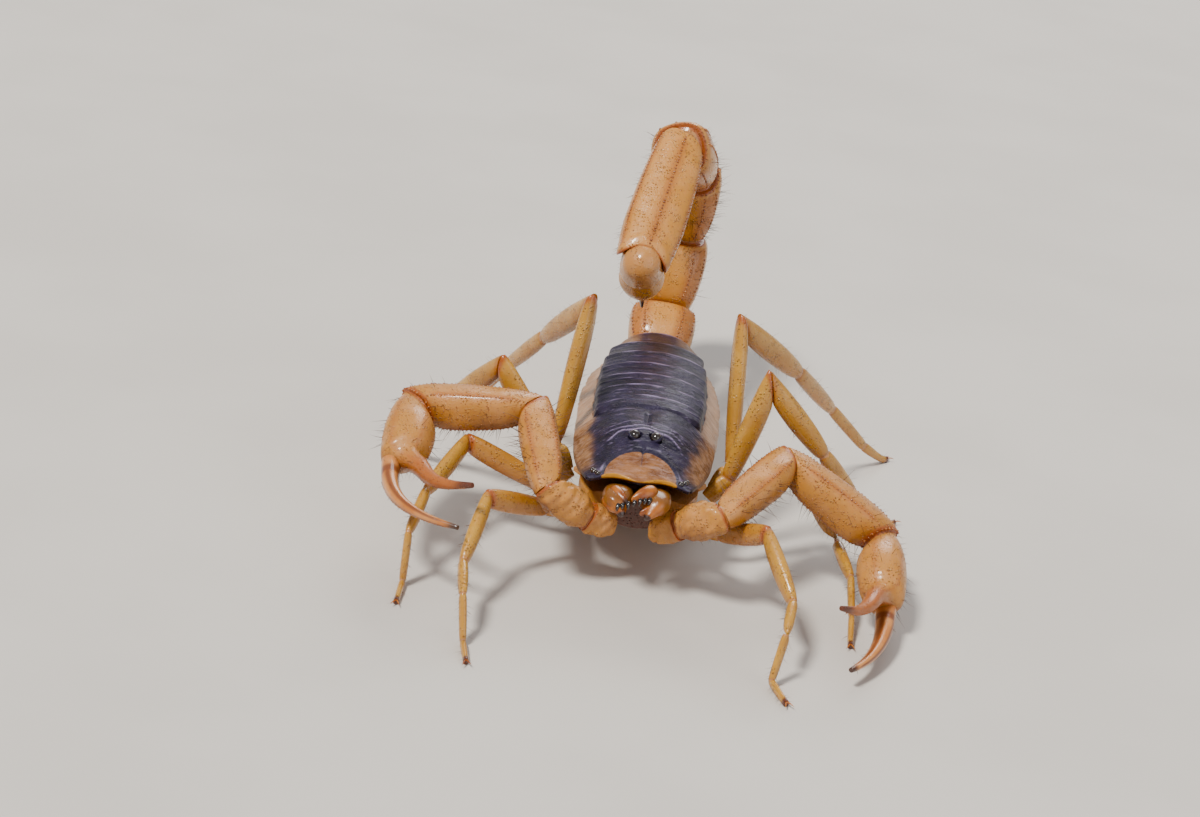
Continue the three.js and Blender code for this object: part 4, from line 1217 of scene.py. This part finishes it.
for side, sign in (("left", -1), ("right", 1)):
    jaw = make_tube(f"chelicera_{side}", middle("carapace"), (0, 0, 1), levels=3, plug=False, rim=0.1)
    local = trunk_points(points_of(jaw))
    share = painted(jaw, "along")
    local += 0.05 * waves(local, 2.5, 50)[:, None]
    local[:, 2] += 0.40 * (1 - smoothstep(local[:, 1], -0.5, 2.0))
    set_points(jaw, world_points(local))
    paint(jaw, "rim", np.zeros(len(share)))
    # The jaws are painted darker at the root, as painted shade under the margin, and nearly black at their far ends, as
    # painted shade of the mouth.
    paint(jaw, "root", 1 - smoothstep(share + 0.05 * waves(local, 1.5, 51), 0.55, 0.80))
    paint(jaw, "tip", smoothstep(share, 0.82, 0.95))
    finished(jaw, orange_material, "orange_cuticle", f"chelicera_{side}")


def jaw_finger(name, joints, radii, dark):
    """A curved finger through four places of the trunk's frame. Its end is darkened from the share given as dark, and
    its root is painted darker as painted shade under the shield's margin.
    """
    places = [world_place(x, y, z + 0.3) for x, y, z in joints]
    ways = [after - before for before, after in zip(places, places[1:])]
    finger = horn(name, places[0], ways, [radius * MM for radius in radii])
    refine(finger, 2)
    smooth(finger, 80)
    run = (points_of(finger) - np.array(places[0])) @ np.array(places[-1] - places[0])
    run = run / (places[-1] - places[0]).length_squared
    paint(finger, "tip", smoothstep(run, dark, dark + 0.5))
    paint(finger, "root", 0.7 * (1 - smoothstep(run, 0.0, 0.35)))
    return finished(finger, orange_material, "orange_cuticle")


jaw_finger("jaw_finger_fixed_right", [(1.6, -0.2, -1.05), (0.95, -1.2, -1.0), (0.2, -2.0, -1.2), (-0.4, -2.4, -1.5)],
           (0.85, 0.85, 0.62, 0.25), 0.95)
jaw_finger("jaw_finger_moving_right", [(2.7, -0.6, -1.9), (2.2, -1.6, -2.1), (1.4, -2.35, -2.4), (0.5, -2.8, -2.6)],
           (0.75, 0.82, 0.66, 0.22), 0.95)
# The left fingers are darkened from about halfway on, as painted shade of the mouth on that side; the right ones only
# at the tip.
jaw_finger("jaw_finger_fixed_left", [(-2.4, -0.3, -1.4), (-1.9, -1.2, -1.35), (-1.3, -1.9, -1.5), (-0.75, -2.4, -1.8)],
           (0.75, 0.75, 0.50, 0.20), 0.55)
jaw_finger("jaw_finger_moving_left", [(-2.9, -0.6, -2.1), (-2.5, -1.6, -2.4), (-1.9, -2.35, -2.6), (-1.2, -2.8, -2.7)],
           (0.70, 0.70, 0.50, 0.20), 0.60)

TEETH = ((-1.70, -2.75, -2.15), (-1.26, -2.75, -2.0), (-0.71, -2.75, -1.85), (-0.17, -2.65, -1.6),
         (0.36, -2.55, -1.45), (0.82, -2.4, -1.35), (1.25, -2.2, -1.35))
teeth = []
for i, (across, back, up) in enumerate(TEETH):
    lean = trunk_way(-0.2 + 0.1 * (i % 3), -0.7, -0.75)
    teeth.append(tooth(world_place(across, back, up + 0.25), lean, (1.05 - 0.2 * (i % 2)) * MM, 0.40 * MM))
finished(join("jaw_teeth", teeth), black_material, "dark_cuticle")

# Small dark balls of the hinge, half sunk beside the jaws.
knobs = []
for across, back, up in ((-3.47, 0.1, -0.75), (3.37, 0.1, -0.95), (3.27, -0.2, -1.5)):
    jaw = tubes["chelicera_left" if across < 0 else "chelicera_right"]["piece"]
    jaw_tree = BVHTree.FromObject(jaw, bpy.context.evaluated_depsgraph_get())
    place, normal = jaw_tree.find_nearest(world_place(across, back, up))[:2]
    knobs.append(dome(place, normal, 0.26 * MM, 0.8))
finished(join("jaw_hinges", knobs), black_material, "dark_cuticle")
print("jaws made")

# %% [markdown]
# ## Small parts by the hundred
# Granules, teeth of the claws, foot claws and bristles come by the hundred, so each kind is modelled
# once with very few faces. Each copy gets its own place, turn and size, and all copies of a kind on
# one part of the body are merged into one mesh.

# %% Copying a small part many times
rng = np.random.default_rng(11)


def template(piece):
    """The points and faces of a small part, which is then taken out of the scene."""
    points = points_of(piece)
    faces = [tuple(face.vertices) for face in piece.data.polygons]
    bpy.data.objects.remove(piece)
    return points, faces


def axes_along(ways, seed=0):
    """For each way, three axes at right angles, the third along it."""
    source = np.random.default_rng(seed)
    third = ways / np.linalg.norm(ways, axis=1)[:, None]
    helper = source.normal(size=third.shape)
    first = np.cross(helper, third)
    first /= np.linalg.norm(first, axis=1)[:, None]
    return np.stack([first, np.cross(third, first), third], axis=1)


def strew(name, shape, places, axes, sizes):
    """One mesh of many copies of a shape. Each size is the scale along the three axes."""
    points, faces = shape
    spread = points[None, :, :] * sizes[:, None, :]
    moved = np.einsum("nij,njk->nik", spread, axes) + places[:, None, :]
    count = len(points)
    every = [tuple(v + n * count for v in face) for n in range(len(places)) for face in faces]
    mesh = bpy.data.meshes.new(name)
    mesh.from_pydata(moved.reshape(-1, 3), [], every)
    piece = bpy.data.objects.new(name, mesh)
    bpy.context.scene.collection.objects.link(piece)
    mesh.shade_smooth()
    return piece


bpy.ops.mesh.primitive_ico_sphere_add(subdivisions=1, radius=1)
bpy.ops.object.mode_set(mode="EDIT")
bpy.ops.transform.resize(value=(1, 1, 0.8))
bpy.ops.object.mode_set(mode="OBJECT")
GRANULE = template(bpy.context.object)

bpy.ops.mesh.primitive_cone_add(vertices=3, radius1=1, radius2=0.55, depth=0.5, end_fill_type="NOTHING", location=(0, 0, 0.25))
bristle = bpy.context.object
settle(bristle)
choose(bristle, "VERT", lambda vertex: vertex.co.z > 0.4)
bpy.ops.mesh.extrude_region_move(TRANSFORM_OT_translate={"value": (0.0, 0.0, 0.5)})
bpy.ops.transform.resize(value=(0.1, 0.1, 0.1), center_override=(0, 0, 1))
bpy.ops.transform.translate(value=(1.6, 0, 0))
close_mesh()
BRISTLE = template(bristle)
print("granule faces", len(GRANULE[1]), "bristle faces", len(BRISTLE[1]))

# %% Granules along the keels
def keel_line(tube, column, start, end, spacing):
    """Places at an even spacing along one column of a tube's rings, with the tube's middle beside each."""
    line = np.array([ring[column] for ring in tube["rings"]])
    run = np.concatenate([[0], np.cumsum(np.linalg.norm(np.diff(line, axis=0), axis=1))])
    steps = np.arange(run[-1] * start, run[-1] * end, spacing)
    steps = steps + rng.uniform(-0.15, 0.15, len(steps)) * spacing
    places = np.column_stack([np.interp(steps, run, line[:, i]) for i in range(3)])
    middles = np.column_stack([np.interp(steps, run, tube["centres"][:, i]) for i in range(3)])
    return places, middles


def granules_on(name, rows, size, tall=1.0):
    """Rows are (node, column, start, end, spacing). Each granule is snapped to the finished surface."""
    places, ways = [], []
    for node, column, start, end, spacing in rows:
        surface = BVHTree.FromObject(tubes[node]["piece"], bpy.context.evaluated_depsgraph_get())
        for place, centre in zip(*keel_line(tubes[node], column, start, end, spacing)):
            near, normal = surface.find_nearest(Vector(place))[:2]
            places.append(near)
            ways.append(normal)
    sizes = size * rng.uniform(0.7, 1.25, (len(places), 1)) * np.array([[1, 1, tall]])
    piece = strew(name, GRANULE, np.array(places), axes_along(np.array(ways), 5), sizes)
    return finished(piece, granule_material, "amber_cuticle")


rows = [("metasoma_5", j, 0.05, 0.97, 0.42 * MM) for j in LAST_KEELS[:5]]
for node in TAIL_NODES[:4]:
    rows += [(node, j, 0.08, 0.95, 0.5 * MM) for j in TAIL_KEELS]
granules_on("granules_tail", rows, 0.15 * MM, 1.2)
rows = []
for side in SIDES:
    for part in ("femur", "patella"):
        rows += [(f"pedipalp_{side}_{part}", j, 0.06, 0.95, 0.42 * MM) for j in ARM_KEELS]
granules_on("granules_arms", rows, 0.12 * MM, 1.2)
rows = []
for side in SIDES:
    rows += [(f"pedipalp_{side}_hand", j, 0.62, 0.97, 0.30 * MM) for j in (4, 6)]
    rows += [(f"pedipalp_{side}_finger", j, 0.15, 0.95, 0.30 * MM) for j in (3, 5)]
granules_on("finger_teeth", rows, 0.085 * MM, 1.3)


def rim_beads(name, nodes, spacing, size):
    places, ways = [], []
    for node in nodes:
        ring = tubes[node]["rings"][-1]
        loop = np.vstack([ring, ring[:1]])
        run = np.concatenate([[0], np.cumsum(np.linalg.norm(np.diff(loop, axis=0), axis=1))])
        steps = np.arange(0, run[-1], spacing)
        centre = ring.mean(axis=0)
        surface = BVHTree.FromObject(tubes[node]["piece"], bpy.context.evaluated_depsgraph_get())
        for step in steps:
            place = np.array([np.interp(step, run, loop[:, i]) for i in range(3)])
            near = surface.find_nearest(Vector(place))[0]
            places.append(near)
            ways.append(place - centre)
    sizes = size * rng.uniform(0.7, 1.3, (len(places), 1)) * np.array([[1, 1, 1.3]])
    piece = strew(name, GRANULE, np.array(places), axes_along(np.array(ways), 7), sizes)
    return finished(piece, granule_material, "amber_cuticle")


wrists = [f"pedipalp_{side}_patella" for side in SIDES] + ["metasoma_4", "metasoma_3"]
rim_beads("rim_beads", wrists, 0.55 * MM, 0.12 * MM)

# %% Loose granules on the broad faces
def roots_on(node, count, where, seed):
    """Random places on a tube with their normals, and how far along the tube each lies."""
    piece = tubes[node]["piece"]
    piece.data.calc_loop_triangles()
    corners = np.empty(len(piece.data.loop_triangles) * 3, int)
    piece.data.loop_triangles.foreach_get("vertices", corners)
    corners = corners.reshape(-1, 3)
    points, normals, share = points_of(piece), normals_of(piece), painted(piece, "along")
    a, b, c = (points[corners[:, i]] for i in range(3))
    area = np.linalg.norm(np.cross(b - a, c - a), axis=1)
    weight = area * where(normals[corners].mean(axis=1), share[corners].mean(axis=1))
    source = np.random.default_rng(seed)
    pick = source.choice(len(corners), count, p=weight / weight.sum())
    u, v = source.uniform(size=(2, count, 1))
    u, v = np.where(u + v > 1, 1 - u, u), np.where(u + v > 1, 1 - v, v)
    place = a[pick] + (b - a)[pick] * u + (c - a)[pick] * v
    normal = normals[corners[pick]].mean(axis=1)
    return place, normal / np.linalg.norm(normal, axis=1)[:, None], share[corners[pick]].mean(axis=1)


def loose_granules(name, beds, size):
    places, ways = [], []
    for order, (node, count) in enumerate(beds):
        place, normal, share = roots_on(node, count, lambda normal, share: (share > 0.03) * (share < 0.97), 300 + order)
        places.append(place)
        ways.append(normal)
    places, ways = np.concatenate(places), np.concatenate(ways)
    sizes = size * rng.uniform(0.5, 1.3, (len(places), 1)) * np.array([[1, 1, 0.7]])
    return finished(strew(name, GRANULE, places, axes_along(ways, 8), sizes), granule_material, "amber_cuticle")


beds = [("metasoma_5", 330), ("metasoma_4", 160), ("metasoma_3", 110), ("metasoma_2", 80)]
loose_granules("granules_tail_faces", beds, 0.075 * MM)
beds = [(f"pedipalp_{side}_{part}", count) for side in SIDES
        for part, count in (("femur", 380), ("patella", 520), ("hand", 260), ("trochanter", 60))]
loose_granules("granules_arm_faces", beds, 0.07 * MM)

# %% Foot claws
bpy.ops.mesh.primitive_cone_add(vertices=6, radius1=0.5, radius2=0.36, depth=1, end_fill_type="NOTHING", location=(0, 0, 0.5))
claw = bpy.context.object
settle(claw)
choose(claw, "VERT", lambda vertex: vertex.co.z > 0.9)
bpy.ops.mesh.extrude_region_move(TRANSFORM_OT_translate={"value": (0.35, 0.0, 0.8)})
bpy.ops.transform.resize(value=(0.65, 0.65, 0.65), center_override=(0.35, 0, 1.8))
bpy.ops.mesh.extrude_region_move(TRANSFORM_OT_translate={"value": (0.65, 0.0, 0.55)})
bpy.ops.transform.resize(value=(0.15, 0.15, 0.15), center_override=(1.0, 0, 2.35))
close_mesh()
CLAW = template(claw)
places, axes = [], []
for leg in range(1, 5):
    for side in SIDES:
        tube = tubes[f"leg_{leg}_{side}_lower"]
        tip = tube["centres"][-1]
        way = unit((tip - tube["centres"][-3]) * (1, 1, 0.0))
        for spread in (-0.45, 0.45):
            flat = np.array([way[0] * math.cos(spread) - way[1] * math.sin(spread),
                             way[0] * math.sin(spread) + way[1] * math.cos(spread), 0.12])
            third = unit(flat)
            down = unit(np.array([0, 0, -1.0]) - third * (third @ (0, 0, -1.0)))
            axes.append(np.stack([down, np.cross(third, down), third]))
            places.append(tip - way * 0.15 * MM + np.array([0, 0, 0.15 * MM]))
sizes = np.tile(np.array([[0.24, 0.24, 0.42]]) * MM, (len(places), 1))
foot_claws = strew("foot_claws", CLAW, np.array(places), np.array(axes), sizes)
points = points_of(foot_claws)
points[:, 2] = np.maximum(points[:, 2], 0.00002)
set_points(foot_claws, points)
refine(foot_claws, 1)
paint(foot_claws, "tip", np.full(len(foot_claws.data.vertices), 0.35))
finished(foot_claws, orange_material, "orange_cuticle")

# %% [markdown]
# ## Bristles
# This animal is called hairy for good reason: stiff dark bristles stand on its claws, legs and tail.
# Each is a three-sided cone bent once, leaning towards the far end of the part it grows on. Roots
# are strewn over the finished surfaces by area, more where the real ones are thick. A second UV map
# holds each bristle as one small patch at its root's place on an unwrap of the surface it grows on.

# %% Strewing bristles
PATCH = 0.003
atlas = {}


def grow(name, beds, lean, thick):
    """Beds are (node, count, shortest, longest, where). All of them become one mesh."""
    places, ways, sizes, spots = [], [], [], []
    for order, (node, count, short, long, where) in enumerate(beds):
        place, normal, share = roots_on(node, count, where, 100 + order)
        centres = tubes[node]["centres"]
        step = np.clip((share * (len(centres) - 1)).astype(int), 0, len(centres) - 2)
        axis = centres[step + 1] - centres[step]
        axis /= np.linalg.norm(axis, axis=1)[:, None]
        way = normal + axis * (lean + rng.uniform(-0.25, 0.25, (count, 1))) + rng.normal(0, 0.14, (count, 3))
        way /= np.linalg.norm(way, axis=1)[:, None]
        length = rng.uniform(short, long, count) * MM
        below_floor = np.minimum(place[:, 2] + way[:, 2] * length - 0.05 * MM, 0)
        way[:, 2] -= below_floor / length
        cell = atlas.setdefault(node, len(atlas))
        around = np.arctan2(*(place - centres[step])[:, [0, 2]].T) / (2 * math.pi) + 0.5
        spots.append(np.column_stack([(cell % 8 + 0.04 + 0.9 * around) / 8, (cell // 8 + 0.04 + 0.9 * share) / 8]))
        places.append(place - normal * 0.03 * MM)
        ways.append(way)
        sizes.append(np.column_stack([np.full(count, thick * MM), np.full(count, thick * MM), length]))
    places, ways, sizes, spots = (np.concatenate(group) for group in (places, ways, sizes, spots))
    piece = strew(name, BRISTLE, places, axes_along(ways, 9), sizes)
    count = len(BRISTLE[0])
    paint(piece, "along", np.tile(BRISTLE[0][:, 2], len(places)))
    flat = BRISTLE[0][:, 2] * PATCH
    turn = np.arctan2(BRISTLE[0][:, 1], BRISTLE[0][:, 0]) / (2 * math.pi) * PATCH
    patch = np.column_stack([turn, flat])
    corner = np.empty(len(piece.data.loops), int)
    piece.data.loops.foreach_get("vertex_index", corner)
    layer = piece.data.uv_layers.new(name="OFBake")
    layer.data.foreach_set("uv", (spots[corner // count] + patch[corner % count]).astype(np.float32).ravel())
    finished(piece, bristle_material, "dark_cuticle")
    print(name, "bristles", len(places), "faces", len(piece.data.polygons))
    return piece


def anywhere(normal, share):
    return np.ones(len(share))


def below(normal, share):
    return 0.15 + np.clip(-normal[:, 2] + 0.35, 0, 1)


beds = [("metasoma_5", 260, 0.5, 1.1, anywhere), ("metasoma_4", 120, 0.6, 1.3, anywhere),
        ("metasoma_3", 240, 0.8, 2.1, anywhere), ("metasoma_2", 110, 0.6, 1.4, anywhere),
        ("metasoma_1", 60, 0.5, 1.0, anywhere), ("telson_vesicle", 70, 0.5, 1.1, anywhere)]
grow("bristles_tail", beds, 0.6, 0.022)
beds = []
for side in SIDES:
    prefix = f"pedipalp_{side}_"
    beds += [(prefix + "femur", 150, 0.5, 1.4, below), (prefix + "patella", 200, 0.5, 1.3, below),
             (prefix + "hand", 130, 0.4, 1.0, anywhere), (prefix + "finger", 30, 0.3, 0.6, anywhere),
             (prefix + "trochanter", 40, 0.4, 0.8, below)]
grow("bristles_arms", beds, 0.5, 0.022)
beds = []
for leg in range(1, 5):
    for side in SIDES:
        prefix = f"leg_{leg}_{side}_"
        beds += [(prefix + "upper", 60, 0.4, 1.0, below), (prefix + "lower", 150, 0.4, 0.95, anywhere)]
grow("bristles_legs", beds, 0.7, 0.017)


def ahead(normal, share):
    return np.clip(-normal[:, 1] - 0.1, 0, 1) * (share > 0.15) * (share < 0.85)


def inner_edge(normal, share):
    return np.clip(np.abs(normal[:, 0]) * 1.4 - 0.5, 0, 1) * (share > 0.1) * (share < 0.9)


def palm(normal, share):
    return (share > 0.05) * (share < 0.6)


beds = [("metasoma_3", 60, 1.5, 2.6, ahead), ("metasoma_2", 14, 1.4, 2.2, ahead), ("metasoma_4", 12, 1.4, 2.0, inner_edge)]
for side in SIDES:
    prefix = f"pedipalp_{side}_"
    beds += [(prefix + "femur", 44, 1.3, 2.4, inner_edge), (prefix + "patella", 30, 1.3, 2.2, below),
             (prefix + "hand", 18, 1.2, 2.0, palm)]
grow("bristles_long", beds, 0.35, 0.036)

# %% Floor and light
bpy.ops.mesh.primitive_plane_add(size=10)
floor = bpy.context.object
floor.name = "floor"
floor_material, tree, sockets = finish("floor", 0.75)
floor_drift = place_group(tree, drift, {
    "Colour": opaque((0.62, 0.58, 0.53)), "Other": opaque((0.56, 0.52, 0.48)), "Scale": 30.0, "Share": 0.6})
tree.links.new(floor_drift["Colour"], sockets["Base Color"])
floor.data.materials.append(floor_material)


def soft_sun(name, place, strength, degrees, colour=(1, 1, 1)):
    """A wide sun: it lights the whole floor evenly, and a larger angle gives softer shadows."""
    data = bpy.data.lights.new(name, "SUN")
    data.energy = strength
    data.angle = math.radians(degrees)
    data.color = colour
    lamp = bpy.data.objects.new(name, data)
    bpy.context.scene.collection.objects.link(lamp)
    lamp.location = place
    lamp.rotation_euler = (Vector(TARGET) - Vector(place)).to_track_quat("-Z", "Y").to_euler()
    return lamp


TARGET = (0, -0.01, 0.012)
soft_sun("key", (-0.14, -0.16, 0.34), 4.3, 11, (1.0, 0.97, 0.91))
soft_sun("fill", (0.30, -0.22, 0.18), 0.8, 50, (0.95, 0.97, 1.0))
soft_sun("back", (0.05, 0.34, 0.26), 1.2, 30)
world = bpy.data.worlds.new("studio")
bpy.context.scene.world = world
world.use_nodes = True
world.node_tree.nodes["Background"].inputs["Color"].default_value = (0.95, 0.96, 1.0, 1)
world.node_tree.nodes["Background"].inputs["Strength"].default_value = 0.4
